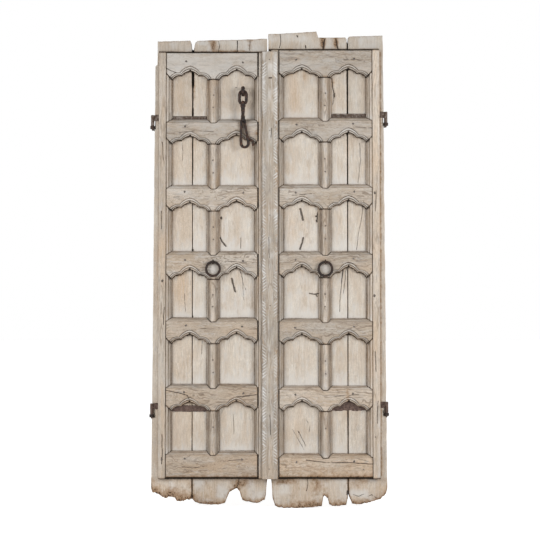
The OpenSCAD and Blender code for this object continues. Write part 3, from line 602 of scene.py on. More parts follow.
def lay_plank(side, part, seed):
    """One plank: its broken outline, the recesses for the straps, its stains and its plainer back."""
    sign = LEAVES[side]
    key = f"{side}_{part}"
    top = RAIL_TOPS[side][0]
    inner = part == "inner"
    joint = PLANK_JOINT[side]
    x_low = (MEETING_EDGE, joint - 1) if inner else (joint + 1, EDGE_FOOT)
    lean = RIGHT_LEAN if inner and side == "right" else 0
    x_high = (MEETING_EDGE - lean, joint - 1) if inner else (joint + 1, EDGE_TOP)
    foot, head = np.array(PLANK_FEET[key]), np.array(PLANK_TOPS[key])
    edges = np.array([OPENING_IN + d for d in (-1, 1, 3, 6)] + [OPENING_OUT + d for d in (1, -1, -3, -6)]
                     + [MUNTIN_X + s * (MUNTIN_HALF + d) for s in (-1, 1) for d in (-1, 1, 3, 6)])
    edges = (edges - x_low[0]) / (x_low[1] - x_low[0])
    even_shares = np.linspace(0, 1, PLANK_COLUMNS[part])
    shares = np.concatenate([even_shares, foot[:, 0], head[:, 0], [0.004, 0.012, 0.988, 0.996],
                             edges[(edges > 0) & (edges < 1)]])
    shares = np.unique(np.round(shares, 4))
    z_levels = [np.linspace(165, top - 30, PLANK_ROWS), [124, 128, 130.5, 132.5, 141, 143, 152],
                top + np.array([-2, 0.3, 8, 10, 12, 14.5])]
    for z in STRAP_HEIGHTS[side]:
        z_levels.append(z + np.array([-52, -51, -34, -33, -27.8, -27, -14.6, -14]))
        z_levels.append(z + np.array([4.6, 5.4, 8, 8.8, 14, 14.6]))
    for z in RAIL_TOPS[side][1:]:
        z_levels.append(z + np.array([-1, 0.6, 2.5, 5.5]))
    levels = np.unique(np.concatenate(z_levels))
    z_foot = np.interp(shares, foot[:, 0], foot[:, 1])
    z_head = top + np.interp(shares, head[:, 0], head[:, 1])
    ragged = spots(shares * 300, 0 * shares + seed)
    torn = 2 if key == "left_outer" else 1.1
    z_foot = z_foot + torn * (2.2 * noise(ragged, 11, seed) + 1.7 * noise(ragged, 4, seed + 1))
    z_foot = np.clip(z_foot, 0.2, levels[0] - 4)
    z_head = z_head + 1.2 * noise(ragged, 26, seed + 2) + 0.7 * noise(ragged, 6, seed + 4)
    low_rows = np.linspace(0, 1, 20)[:-1] ** 1.25
    high_rows = np.linspace(0, 1, 16)[1:]
    z = np.concatenate([z_foot + low_rows[:, None] * (levels[0] - z_foot),
                        np.repeat(levels[:, None], len(shares), 1),
                        levels[-1] + high_rows[:, None] * (z_head - levels[-1])])
    climb = z / (top + 70)
    x_in = x_low[0] + (x_high[0] - x_low[0]) * climb
    x_out = x_low[1] + (x_high[1] - x_low[1]) * climb
    if side == "left" and not inner:
        x_out = x_out - BREAK_WIDE * np.clip((z - (top - BREAK_HIGH)) / 3, 0, 1)
    gap = np.interp(z, *np.array(JOINT_GAPS[side]).T)
    upwards = spots(0 * z, z)
    wander = 0.8 * noise(upwards, 60, seed + 6) + 0.5 * noise(upwards, 13, 8)
    spread = shares[None, :]
    front_in, front_out = x_in.copy(), x_out.copy()
    if inner:
        front_out = front_out + 1 - gap * INNER_SHARE + wander * 0.6
        front_in = front_in + 0.9 * noise(upwards, 40, seed)
    else:
        front_in = front_in - 1 + gap * OUTER_SHARE + wander * 0.4
        front_out = front_out + 1.1 * noise(upwards, 45, seed) - 0.6
        for zs in STRAP_HEIGHTS[side]:
            slot = (z > zs - EYE_SLOT_FOOT) & (z < zs - EYE_SLOT_TOP)
            front_out = np.where(slot, np.minimum(front_out, EYE_SLOT_FROM), front_out)
    back_in, back_out = x_in.copy(), x_out.copy()
    open_top = np.clip((z - (top + OPEN_BACK[side])) / 5, 0, 1)
    if inner:
        back_out = back_out + 1.15 - open_top * gap * INNER_SHARE
    else:
        back_in = back_in - 1.15 + open_top * gap * OUTER_SHARE
        back_out = np.minimum(back_out, front_out)
    x = front_in + spread * (front_out - front_in)
    x_back = back_in + spread * (back_out - back_in)
    place = spots(x, z)
    y = (0.7 * noise(place, (120, 50, 420), seed) + 0.35 * noise(place, (22, 50, 210), seed + 1)
         + 0.18 * noise(place, (6, 50, 90), seed + 2) + 0.4)
    near_end = np.minimum(z - z_foot, z_head - z)
    near_side = np.minimum(x - front_in, front_out - x)
    y = y + 2.6 * np.exp(-near_end / 2.4) + 1.3 * np.exp(-near_side / 1.2)
    crumbled = 1.3 * noise(place, (10, 50, 34), seed + 3) * np.clip((60 - near_end) / 60, 0, 1)
    y = y + np.where(z < 140, crumbled, 0)
    world_x = x * sign
    for level, zs in enumerate(STRAP_HEIGHTS[side]):
        inset = 4 * level * in_panel(x)
        low = zs - RECESS_HALF - strap_drop(side, level, x, 0) + inset
        high = zs + RECESS_HALF - strap_drop(side, level, x, 1) - inset
        y = np.where((z > low) & (z < high) & (x > RECESS_END), RECESS_DEEP, y)
        pin = (z > zs - EYE_SLOT_FOOT) & (z < zs - PIN_RECESS_TOP) & (x > PIN_RECESS_FROM)
        y = np.where(pin, PIN_RECESS_DEEP, y)
    joint_near, sill = panel_masks(side, x, z)
    seam = np.exp(-(front_out - x if inner else x - front_in) / 1.4)
    end_rot = 1.1 * np.exp(-np.maximum(z - z_foot, 0) / 16) + 0.55 * np.exp(-np.maximum(z_head - z, 0) / 8)
    over, foot_part, bare = z > top + 4, z < BOTTOM_RAIL_FOOT, x > BARE_FROM
    rim = 0.6 * np.exp(-near_side / 4) + 0.16 + 0.2 * noise(place, (34, 34, 34), seed + 14)
    rim = end_rot + rim * foot_part
    # A brown band on the margin beside the right hinge stile: painted shadow of the stile, with brown dirt.
    if key == "right_outer":
        rim = rim + 0.8 * np.exp(-((x - 502) / 6) ** 2) * (z > BOTTOM_RAIL_FOOT) * (z < top)
    warm, brown = stain_masks(side, world_x, z)
    tone = np.interp(z, [1450, 2000], [1.0, 0.93 if inner else 0.85])
    tone = tone * np.where(bare, 1.1, 1) * (1.0 if inner else 0.97)
    warm_face = np.where(bare, 0.1, 0.4) if key == "left_outer" else 0
    warm_foot = 0.5 + 0.5 * noise(place, (50, 50, 26), seed + 15)
    washed_face = (sill * 0.8 + (0.22 if inner else 0.05)
                   + 0.18 * np.sin(np.clip((z - 400) / 1300, 0, 1) * math.pi))
    washed_end = 0.3 + 0.75 * noise(place, (45, 45, 30), seed + 12)
    marks = {"joint": np.maximum(joint_near, seam), "rim": np.clip(rim + 1.5 * brown, 0, 1.2),
             "warm": np.maximum(warm, np.where(foot_part, warm_foot, warm_face)),
             "wash": np.where(over | foot_part, washed_end, washed_face),
             "tone": np.where(over, HEAD_TONES[key], np.where(foot_part, FOOT_TONES[key], tone))}
    front = np.stack([world_x, y, z], -1)
    y_back = PLANK_THICK - 0.5 + 0.45 * noise(spots(x_back, z), (40, 50, 300), seed + 9)
    from_joint = back_out - x_back if inner else x_back - back_in
    y_back = y_back - 2.2 * np.exp(-near_end / 3) - 3 * np.exp(-from_joint / 2)
    back = np.stack([x_back * sign, y_back, z], -1)
    back_marks = {"joint": np.exp(-from_joint / 2.4), "rim": 0.6 * end_rot, "tone": 1.0,
                  "warm": 0.2 + 0.3 * noise(place, (50, 50, 240), seed + 21),
                  "wash": 0.1 + 0.3 * noise(place, (40, 40, 300), seed + 23)}
    piece = board(f"{key}_plank_worn", front, marks, back, back_marks, layers=4, rough=1.1, seed=seed)
    split_open(piece, PANEL_MARKS[side], PANEL_CRACK, seed)
    thin_back(piece, BACK_KEPT)
    fit(piece, plank_finish, f"{side}_leaf", f"{key}_plank")


for n, key in enumerate(PLANK_FEET):
    lay_plank(*key.split("_"), 11 + 20 * n)

# Stiles: upright bars of the framing, planed from the same wood and nailed on the planks along each
# leaf's two edges. Their flat runs from end to end, and the moulding on the panel's side is cut away
# where the rails' mitred ends come in.
FRAMING_THICK = 28
STILE_FOOT = 134
STILE_OVER = 4
LIP = 8
HINGE_FLAT = 464.5
MEETING_FLAT = {"left": 46.5, "right": 41}
BEVEL_HIGH = 18
MITRE = {"hinge": 27, "meeting": 19}
# The moulding as [share of its width from the panel, height], and how dark it is along its width, as painted
# shade with dirt in its quirks and at its edges
MOULDING = [(0, 0.5), (0, LIP - 1), (0.03, LIP + 0.4), (0.06, LIP + 0.8), (0.12, LIP), (0.16, LIP - 0.6),
            (0.2, LIP + 3.6), (0.27, 13.4), (0.36, 15.6), (0.46, 17.2), (0.51, 16.8), (0.55, 23), (0.6, 25.2),
            (0.68, 26.2), (0.77, 26.2), (0.86, 25.2), (0.91, 23.6), (0.96, 23), (1.06, 23.6)]
MOULDING_DIRT_AND_SHADE = [(0, 1.1), (0.04, 0.7), (0.07, 0.2), (0.16, 1.0), (0.24, 0.4), (0.36, 0.2), (0.52, 0.95),
                 (0.58, 0.35), (0.66, 0.08), (0.82, 0.1), (0.93, 1.0), (1.1, 1.1)]
# How light each stile is; the right meeting stile is darker, as painted shadow of the cover strip.
STILE_TONES_AND_SHADE = {"left_hinge": 0.96, "left_meeting": 0.95, "right_hinge": 1.1, "right_meeting": 0.88}
STILE_MARKS = {
    "left": [([(-478, 330), (-476, 260), (-479, 200)], 1.6), ([(-480, 1640), (-476, 1560)], 1.2),
             ([(-470, 900), (-474, 820)], 1.2), ([(-484, 1330), (-483, 1250)], 1.1),
             ([(-478, 1019), (-478, 1014)], 3.4), ([(-479, 226), (-479, 219)], 3.6)],
    "right": [([(480, 1420), (476, 1330)], 1.2), ([(474, 700), (477, 610)], 1.2),
              ([(473, 1414), (473, 1409)], 3.2), ([(471, 953), (471, 947)], 3.2),
              ([(486, 480), (482, 380)], 1.2)],
}

stile_finish = wood_finish("bleached_stile", False, {
    "Pale": (0.58, 0.52, 0.45, 1), "Tan": (0.44, 0.36, 0.28, 1), "Line colour": (0.22, 0.165, 0.12, 1),
    "Wave": 0.02, "Blotch": 0.3, "Lines": 0.5, "Fibre": 0.13, "Wash": 0.5, "Grey": 0.45}, 0.0009)


def joined(name, pieces):
    """Several closed shells as one piece."""
    with bpy.context.temp_override(active_object=pieces[0], selected_editable_objects=pieces):
        bpy.ops.object.join()
    pieces[0].name = name
    pieces[0].data.name = name
    return pieces[0]


def even(low, high, pitch):
    """Even steps from low to high, about a pitch apart."""
    return np.linspace(low, high, max(2, int(round((high - low) / pitch)) + 1))


def wear(place, seed, depth):
    """Unevenness of a planed and weathered face, in millimetres; the grain runs along the third axis."""
    return depth * (0.5 * noise(place, (60, 60, 300), seed) + 0.35 * noise(place, (16, 40, 120), seed + 1)
                    + 0.3 * noise(place, (5, 30, 60), seed + 2))


def set_stile(side, part, seed):
    """One stile: the flat bar and a length of moulding beside each row of panels."""
    sign = LEAVES[side]
    if part == "hinge":
        edge, flat, opening, out = STILE_EDGE, HINGE_FLAT, OPENING_OUT, 1
    else:
        edge, flat, opening, out = MEETING_EDGE, MEETING_FLAT[side], OPENING_IN, -1
    top = RAIL_TOPS[side][0] + STILE_OVER
    z_line = even(STILE_FOOT, top, 6.5)
    wide = abs(edge - flat)
    steps = np.concatenate([[0, 0, 0.6, 2], np.linspace(5, wide - 5, 9), [wide - 2, wide - 0.6, wide, wide]])
    drop = np.concatenate([[16, 1.6, 0.5, 0], np.zeros(9), [0, 0.6, 2.2, 20]])
    z, across = np.meshgrid(z_line, steps, indexing="ij")
    nicks = np.maximum(noise(spots(0 * z, z), 38, seed) - 0.35, 0) * 5
    x = flat + out * across
    side_share = np.exp(-np.minimum(across, wide - across) / 3)
    face = spots(x, z)
    y = -FRAMING_THICK + drop[None, :] + side_share * nicks
    y = y + wear(face, seed, 0.9) + np.exp(-np.minimum(z - STILE_FOOT, top - z) / 2) * 2
    x = x - out * np.where(across > wide - 0.1, nicks * 0.5, 0)
    grip = np.exp(-np.minimum(z - STILE_FOOT, top - z) / 5)
    shade = STILE_TONES_AND_SHADE[f"{side}_{part}"]
    # Painted shade with dirt on the stile: along its side by the panels, down its side walls, at its ends and
    # along its outer edge.
    inner_line = 0.75 * np.exp(-across / 2.2) * (0.5 + 0.5 * noise(face, (30, 30, 70), seed + 4))
    inner_line = np.where(drop[None, :] > 3, 1.2, inner_line) * (across < wide / 2)
    marks = {"joint": np.clip(inner_line + 0.9 * grip + 0.5 * np.exp(-(wide - across) / 1.5), 0, 1),
             "wash": 0.2 + 0.3 * noise(face, (30, 30, 260), seed + 7),
             "warm": np.clip(noise(face, (24, 24, 130), seed + 9), 0, 1), "tone": shade}
    shells = [board("bar", np.stack([x * sign, y, z], -1), marks, seed=seed)]
    share, rise = np.array(MOULDING).T
    quirk = np.interp(share, *np.array(MOULDING_DIRT_AND_SHADE).T)
    for k in range(1, RAILS):
        z_low = RAIL_TOPS[side][k] - BEVEL_HIGH * np.minimum(share, 1)
        z_high = rail_foot(side, k) + MITRE[part] * np.minimum(share, 1)
        t = np.linspace(0, 1, 36)[:, None]
        z = z_low + t * (z_high - z_low)
        x = np.broadcast_to(opening + (flat - opening) * share, z.shape)
        spot = spots(x, z)
        y = -rise + wear(spot, seed + k, 0.8)
        x = x + 0.5 * noise(spot, (40, 40, 50), seed + k)
        # Painted shade with dirt where the moulding meets the rails and in its quirks.
        ends = np.exp(-np.minimum(z - z_low, z_high - z) / 2.5)
        groove_dirt_and_shade = quirk * (0.7 + 0.25 * noise(spot, (20, 20, 60), seed))
        marks = {"joint": np.clip(np.maximum(ends * 0.95, groove_dirt_and_shade), 0, 1),
                 "wash": 0.1 + 0.7 * np.exp(-(z - z_low) / 40), "tone": shade * 0.97}
        front = np.stack([x * sign, y + ends, z], -1)
        shells.append(board("moulding", front, marks, layers=1, seed=seed + k))
    piece = joined(f"{side}_{part}_stile_worn", shells)
    split_open(piece, STILE_MARKS[side], 3, seed)
    fit(piece, stile_finish, f"{side}_leaf", f"{side}_{part}_stile")


for n, key in enumerate(STILE_TONES_AND_SHADE):
    set_stile(*key.split("_"), 101 + 13 * n)

# Rails: seven cross bars on each leaf, nailed through their faces. Their top edge has a bevel with a
# fillet, and their lower edge is carved into two cusped arches with two reeds and a fillet along them and a
# hole drilled at each point. The bottom rail is plain.
RAIL_JOINT = 2
MEETING_GAP = {"left": 6, "right": 3}
# Carving along the arches as [distance from the arch, height], and how dark its grooves are, as painted shade
# with dirt
ARCH_STEPS = [(0, 13.6), (0.5, 15), (1.4, 16.6), (3.4, 17.8), (5.6, 17.6), (7.4, 16.4), (8.5, 14.8),
              (9.2, 14.2), (9.9, 15), (10.5, 19.4), (11.6, 21.6), (13.4, 23), (15.6, 23.2), (17.4, 22.4),
              (18.6, 21), (19.3, 20), (19.9, 20.4), (20.5, 24.6), (21.3, 26.8), (22.4, 28)]
ARCH_GROOVES = {0: 1.0, 9.2: 1.05, 19.6: 0.85}
# The bevel along the top edge as [height over that edge, thickness]
BEVEL_BAND = 17
BEVEL = [(-BEVEL_BAND, 28), (-16, 27.6), (-15.5, 26), (-12, 23.4), (-8, 20.6), (-4.9, 18.3), (-4.3, 17.4),
         (-4.1, 13.2), (-3, 11.6), (-0.8, 9), (0, 7)]
# How orange, how limed and how light each rail is, and how brown the lowest ones are
RAIL_TINTS = {
    "left": [(0, 0.4, 0.84), (0, 0.15, 0.78), (0, 0, 0.94), (0, 0, 0.92), (0, 0, 0.89), (0, 0, 0.87),
             (0.2, 0.2, 0.84)],
    "right": [(0, 0, 0.78), (0.2, 0, 0.8), (0, 0, 0.92), (0, 0, 0.86), (0, 0, 0.83), (0, 0.1, 1.03),
              (0.5, -0.1, 1)],
}
BOTTOM_BROWN = {"left": 0.16, "right": 0.34}
# The rail that holds the ring pull, and the height of the pale patch that the ring has rubbed on it
RING_RAIL, RUBBED_AT = 4, 1069
# Notch in the bevel that takes a muntin's foot: half its width, its depth and the run of its slanting sides
NOTCH_HALF, NOTCH_DEEP, NOTCH_RUN = 30, 20, 18
RAIL_MARKS = {
    "left": [([(-462, 1973), (-440, 1962), (-418, 1954)], 1.5),
             ([(-460, 527), (-400, 515), (-367, 505), (-360, 490)], 1.5),
             ([(-145, 499), (-100, 502), (-49, 509)], 1.5), ([(-440, 1680), (-330, 1692), (-250, 1688)], 0.8),
             ([(-200, 1105), (-100, 1098)], 0.8), ([(-420, 190), (-330, 183), (-280, 190)], 0.9),
             ([(-180, 215), (-90, 222)], 0.9), ([(-430, 1392), (-380, 1396)], 0.9),
             ([(-330, 800), (-220, 806)], 0.8)],
    "right": [([(165, 217), (260, 205), (360, 206), (462, 199)], 1.5),
              ([(310, 2010), (380, 2016), (430, 2006)], 1), ([(90, 1990), (140, 1996)], 0.8),
              ([(100, 1400), (190, 1408)], 0.9), ([(330, 1098), (430, 1092)], 0.9),
              ([(120, 800), (220, 795)], 0.8), ([(290, 500), (400, 508)], 0.9),
              ([(380, 1710), (460, 1704)], 1)],
}
# Nails as [x, y, z, radius], which are gathered here and driven in the nails' section
NAILS = {side: [] for side in LEAVES}

rail_finish = wood_finish("bleached_rail", True, {
    "Pale": (0.59, 0.53, 0.46, 1), "Tan": (0.43, 0.35, 0.27, 1), "Line colour": (0.17, 0.122, 0.085, 1),
    "Wave": 0.07, "Blotch": 0.3, "Lines": 0.62, "Fibre": 0.16, "Wash": 0.55, "Grey": 0.42}, 0.001)


def fix_rail(side, k, seed):
    """Rail k, counted from the top; its grid follows the arches below and the bevel above."""
    sign = LEAVES[side]
    foot, high = rail_foot(side, k), RAIL_TOPS[side][k - 1] - rail_foot(side, k)
    arched, topped = k < RAILS, k > 1
    rises = ARCH_CUTS[side][k - 1][1:] if arched else ()
    ends = (MEETING_FLAT[side] + MEETING_GAP[side], HINGE_FLAT - RAIL_JOINT)
    corners = [OPENING_IN + RAIL_JOINT, OPENING_OUT - RAIL_JOINT, ends[0] + 0.8, ends[1] - 0.8]
    corners += [MUNTIN_X + d for d in (-30, -12, 12, 30)]
    corners += [m + d for m in ARCH_MIDDLES for d in (-81, -39, -1.2, 0, 1.2, 39, 81)]
    x_line = np.unique(np.round(np.concatenate([even(*ends, 3.2), corners]), 2))
    x_line = x_line[(x_line >= ends[0]) & (x_line <= ends[1])]
    z_low = 0 * x_line
    z_high = np.full(x_line.shape, float(high))
    past_in, past_out = OPENING_IN + RAIL_JOINT - x_line, x_line - OPENING_OUT + RAIL_JOINT
    wide_in, wide_out = OPENING_IN - MEETING_FLAT[side], HINGE_FLAT - OPENING_OUT
    if arched:
        mitre = np.maximum(past_in * MITRE["meeting"] / wide_in, past_out)
        z_low = np.maximum(np.maximum(mitre, arch_height(x_line, 0, rises)), 0)
        rows = [np.maximum(arch_height(x_line, grow, rises), z_low) if grow else z_low
                for grow, _ in ARCH_STEPS]
    else:
        rows = [z_low, z_low + 0.6, z_low + 2]
    if topped:
        notch = (NOTCH_HALF - np.abs(x_line - MUNTIN_X)) * NOTCH_DEEP / NOTCH_RUN
        mitre = np.maximum(past_in * BEVEL_HIGH / wide_in, past_out * BEVEL_HIGH / wide_out)
        z_high = high - np.maximum(mitre, np.clip(notch, 0, NOTCH_DEEP))
    last, stop = rows[-1], high - (BEVEL_BAND if topped else 3)
    for t in np.linspace(0, 1, 16 if arched else 26)[1:]:
        rows.append(last + t * np.maximum(stop - last, 0))
    if topped:
        rows += [high + dz + 0 * x_line for dz, _ in BEVEL[1:]]
    else:
        rows += [high - 1 + 0 * x_line, high - 0.3 + 0 * x_line, z_high]
    z = np.clip(np.array(rows), z_low, z_high)
    x = np.broadcast_to(x_line, z.shape)
    depth = np.full(z.shape, float(FRAMING_THICK))
    if arched:
        for row, (grow, level) in enumerate(ARCH_STEPS):
            least = z_low - 0.01 if grow else np.maximum(z_low - 0.01, 0.01)
            depth[row] = np.where(arch_height(x_line, grow, rises) > least, level, FRAMING_THICK)
    else:
        depth[0], depth[1] = 25.5, 27.4
    if topped:
        bevelled = np.interp(z - high, *np.array(BEVEL).T)
        depth = np.minimum(depth, np.where(z > high - BEVEL_BAND, bevelled, FRAMING_THICK))
    else:
        depth = depth - 2.4 * np.exp(z - high)
    spot = spots(z, x)
    tilt = 0.5 * noise(spots(0 * x, x), 150, seed + 5)
    near_end = np.minimum(x - ends[0], ends[1] - x)
    y = -depth + wear(spot, seed, 1.0) + 1.5 * np.exp(-near_end / 1.2)
    lower_wear = np.maximum(noise(spots(x, 0 * x), 24, seed + 8) - 0.1, 0) * 2.6
    y = y + np.where(arched & (z < z_low + 14), lower_wear * np.exp(-(z - z_low) / 6), 0)
    z = z + foot
    holes = 0 * x
    for m, rise in zip(ARCH_MIDDLES, rises):
        holes = np.maximum(holes, np.clip(1.7 - np.hypot(x - m, z - foot - rise - 2) / 3.2, 0, 1))
    y = y + 9 * holes
    edge = 1.15 * np.exp(-near_end / 2.4)
    groove = 0 * x
    if arched:
        for row, (grow, _) in enumerate(ARCH_STEPS):
            for line, strong in ARCH_GROOVES.items():
                groove[row] = np.maximum(groove[row], strong * math.exp(-(abs(grow - line) / 1.2) ** 2))
        groove = groove * (depth < 27.9)
    if topped:
        groove = np.maximum(groove, np.exp(-np.abs(z - foot - high + 4.2) / 1.3) * 0.9)
        groove = np.maximum(groove, np.exp(-np.abs(z - foot - high + 15.8) / 0.9) * 0.75)
    reeds = (depth < 25.5) * (z < foot + 70) if arched else 0 * x
    bevel = topped * (z - foot > high - 15)
    # Painted shade along the arched lower edge, reaching further on the lower rails.
    low_edge = 1.1 * np.exp(-(z - foot - z_low) / (2 + 0.3 * k))
    patchy = 0.95 + 0.4 * noise(spot, (26, 26, 40), seed + 11)
    nail_x = [MUNTIN_X + d + 9 * noise(np.array([[seed * 3.3, k * 1.7, d]]), 5, 3)[0] for d in (-132, 128)]
    nail_z = [foot + high * s + 6 * noise(np.array([[k * 2.9, seed, s * 7]]), 3, 5)[0] for s in (0.66, 0.7)]
    rust = 0 * x
    for nx, nz in zip(nail_x, nail_z):
        rust = np.maximum(rust, np.exp(-np.hypot(x - nx, (z - nz) * 1.2) / 7) * 0.85)
        NAILS[side].append((nx, -FRAMING_THICK, nz, 4.6))
    brown = (0.02 * k if arched else BOTTOM_BROWN[side]) + 0.12 * noise(spot, (30, 30, 90), seed + 15)
    if not arched:
        brown = brown + 0.7 * np.exp(-(z - foot) / 9)
    stained, rusty = stain_masks(side, x * sign, z)
    orange, limed, light = RAIL_TINTS[side][k - 1]
    if k == RING_RAIL:
        limed = limed + np.exp(-(np.hypot(x - MUNTIN_X, z - RUBBED_AT) / 22) ** 4)
    # Painted highlight with limewash on the reeds' ridges; the reeds' tone is also painted lighter and the
    # bevel's darker, as painted light and shade.
    reed_lime_and_highlight = reeds * (1 - groove) * (0.3 + 0.35 * (depth > 19)) * (0.4 if k == 1 else 1)
    # Painted shade with dirt at the rail's ends, in the grooves of the arches and the bevel, along the arched
    # edge and in the drilled holes, which the gash mask also darkens; rust round the nails.
    dirt_and_shade = np.maximum.reduce([edge, groove * np.clip(patchy, 0.6, 1.15), low_edge, rust * 0.8, holes])
    warm = 0.1 * k - 0.2 + orange + stained + 0.6 * noise(spot, (40, 40, 110), seed + 17)
    wash = 0.2 + 0.06 * (4 - k) + limed + 0.3 * noise(spot, (40, 40, 200), seed + 13)
    marks = {"joint": np.clip(dirt_and_shade, 0, 1), "gash": np.minimum(1.6 * holes, 1),
             "rim": np.clip(brown + 1.3 * rusty, 0, 1), "warm": np.clip(warm, 0, 1),
             "wash": wash + reed_lime_and_highlight + 0.15 * bevel,
             "tone": light * np.where(bevel, 0.88, 1) * np.where(reeds, 1.06, 1)}
    front = np.stack([x * sign, y, z + tilt], -1)
    piece = board(f"{side}_rail_{k}_worn", front, marks, layers=2, seed=seed)
    split_open(piece, RAIL_MARKS[side], 3.5, seed)
    fit(piece, rail_finish, f"{side}_leaf", f"{side}_rail_{k}")


for side in LEAVES:
    for k in range(1, RAILS + 1):
        fix_rail(side, k, 200 + 17 * k + (150 if side == "right" else 0))

# Muntins: short half-round uprights with a fillet along each side, one in every row of panels. Their
# feet are cut to a half octagon and let into the rail below, and two nails hold each of them.
# Half of the section as [distance from the middle, height], how dark it is across, as painted shade with dirt
# in its quirks and at its outer edges, and how light it is across, as painted shade on its flanks and a
# painted highlight on its crown
MUNTIN_PROFILE = [(28, 0.5), (28, 6.5), (27.3, 8), (26.2, 8.8), (24.2, 9.2), (22.9, 8.2), (22, 7.4),
                  (21.3, 8.4), (20.6, 13.6), (19.6, 15.2), (18.2, 16), (17, 15.6), (16.2, 14.9), (15.4, 16.6),
                  (13.4, 20.4), (11.4, 23), (10, 24), (9.2, 23.4), (8.4, 24.4), (4, 25)]
MUNTIN_THICK = 25
MUNTIN_SHAPE = MUNTIN_PROFILE + [(0, MUNTIN_THICK)] + [(-x, d) for x, d in MUNTIN_PROFILE[::-1]]
MUNTIN_DIRT_AND_SHADE = [(0, 0), (8.4, 0.05), (9.2, 0.62), (10.4, 0.25), (13, 0.3), (15.2, 0.5), (16.2, 0.85),
               (17.4, 0.4), (20, 0.55), (22, 1.05), (23.4, 0.6), (24.6, 0.15), (26.6, 0.2),
               (27.4, 0.8), (28, 1.1)]
MUNTIN_LIGHT_AND_SHADE = [(0, 1.03), (8, 1.03), (11, 0.92), (20, 0.87), (23, 0.9), (25, 1.0)]

muntin_finish = wood_finish("bleached_muntin", False, {
    "Pale": (0.55, 0.485, 0.415, 1), "Tan": (0.4, 0.32, 0.245, 1), "Line colour": (0.17, 0.122, 0.085, 1),
    "Wave": 0.02, "Blotch": 0.2, "Lines": 0.56, "Fibre": 0.16, "Wash": 0.5, "Grey": 0.5}, 0.0009)


def fix_muntin(side, k, seed):
    """The muntin under rail k; the lowest has lost its lower nail."""
    sign = LEAVES[side]
    seat, top = RAIL_TOPS[side][k], rail_foot(side, k) - 1
    off, depth = np.array(MUNTIN_SHAPE).T
    z_low = seat - np.clip(MUNTIN_HALF - np.abs(off), 0, 18)
    t = np.concatenate([[0, 0.004, 0.012], np.linspace(0.03, 0.985, 52), [0.994, 1]])[:, None]
    z = z_low + t * (top - z_low)
    x = np.broadcast_to(MUNTIN_X + off, z.shape)
    spot = spots(x, z)
    near_end = np.minimum(z - z_low, top - z)
    round_end = 1.8 * np.exp(-near_end / 1.5)
    y = -depth + wear(spot, seed, 0.8) * (depth > 2) + round_end * (depth > 9)
    x = x + 0.35 * noise(spot, (90, 90, 60), seed)
    quirk = np.interp(np.abs(off), *np.array(MUNTIN_DIRT_AND_SHADE).T)
    quirk = quirk * (0.68 + 0.3 * noise(spot, (20, 20, 50), seed + 2))
    rust = 0 * x
    for share in (0.36, 0.64):
        nx, nz = MUNTIN_X + 1.5 * math.sin(seed * share * 9), z_low.min() + share * (top - z_low.min())
        if k < RAILS - 1 or share > 0.5:
            NAILS[side].append((nx, -MUNTIN_THICK, nz, 3.4))
            rust = np.maximum(rust, np.exp(-np.hypot(x - nx, z - nz) / 5) * 0.8)
    warm = noise(spot, (20, 20, 90), seed + 4) - 0.1 + 0.5 * np.exp(-(z - z_low) / 14)
    # The joint mask is painted shade with dirt in the quirks and at the ends, with rust round the nails; the
    # tone paints shade on the flanks and a highlight on the crown.
    marks = {"joint": np.clip(np.maximum.reduce([quirk, np.exp(-near_end / 2.2), rust]), 0, 1),
             "warm": np.clip(warm, 0, 1),
             "wash": 0.1 + 0.5 * np.exp(-(z - z_low) / 36) + 0.25 * noise(spot, (15, 15, 120), seed),
             "tone": np.interp(np.abs(off), *np.array(MUNTIN_LIGHT_AND_SHADE).T) + 0.03 * math.sin(seed * 1.7)}
    piece = board(f"{side}_muntin_{k}_worn", np.stack([x * sign, y, z], -1), marks, layers=1, seed=seed)
    fit(piece, muntin_finish, f"{side}_leaf", f"{side}_muntin_{k}")


for side in LEAVES:
    for k in range(1, RAILS):
        fix_muntin(side, k, 500 + 7 * k + (90 if side == "right" else 0))

# Cover strip: a carved batten nailed on the left leaf's meeting stile, which laps over the right leaf.
# A plain band runs up its middle, and both flanks are cut with sprays of slanting leaves that point up
# and down by turns, with old limewash left in the cuts.
STRIP_MIDDLE, STRIP_HALF, BAND_HALF = 3, 36, 12
STRIP_THICK, STRIP_EDGE = 20, 9
SPRAY_PITCH, CUT_PITCH, CUTS = 96, 14, 5
CUT_SLOPE, CUT_DEEP, CUT_REACH = math.radians(38), 4.2, 23.5

carved_finish = wood_finish("bleached_carving", False, {
    "Pale": (0.5, 0.45, 0.39, 1), "Tan": (0.385, 0.325, 0.262, 1), "Line colour": (0.2, 0.155, 0.118, 1),
    "Wave": 0.015, "Blotch": 0.5, "Lines": 0.46, "Fibre": 0.14, "Wash": 0.75, "Grey": 0.55}, 0.0008)

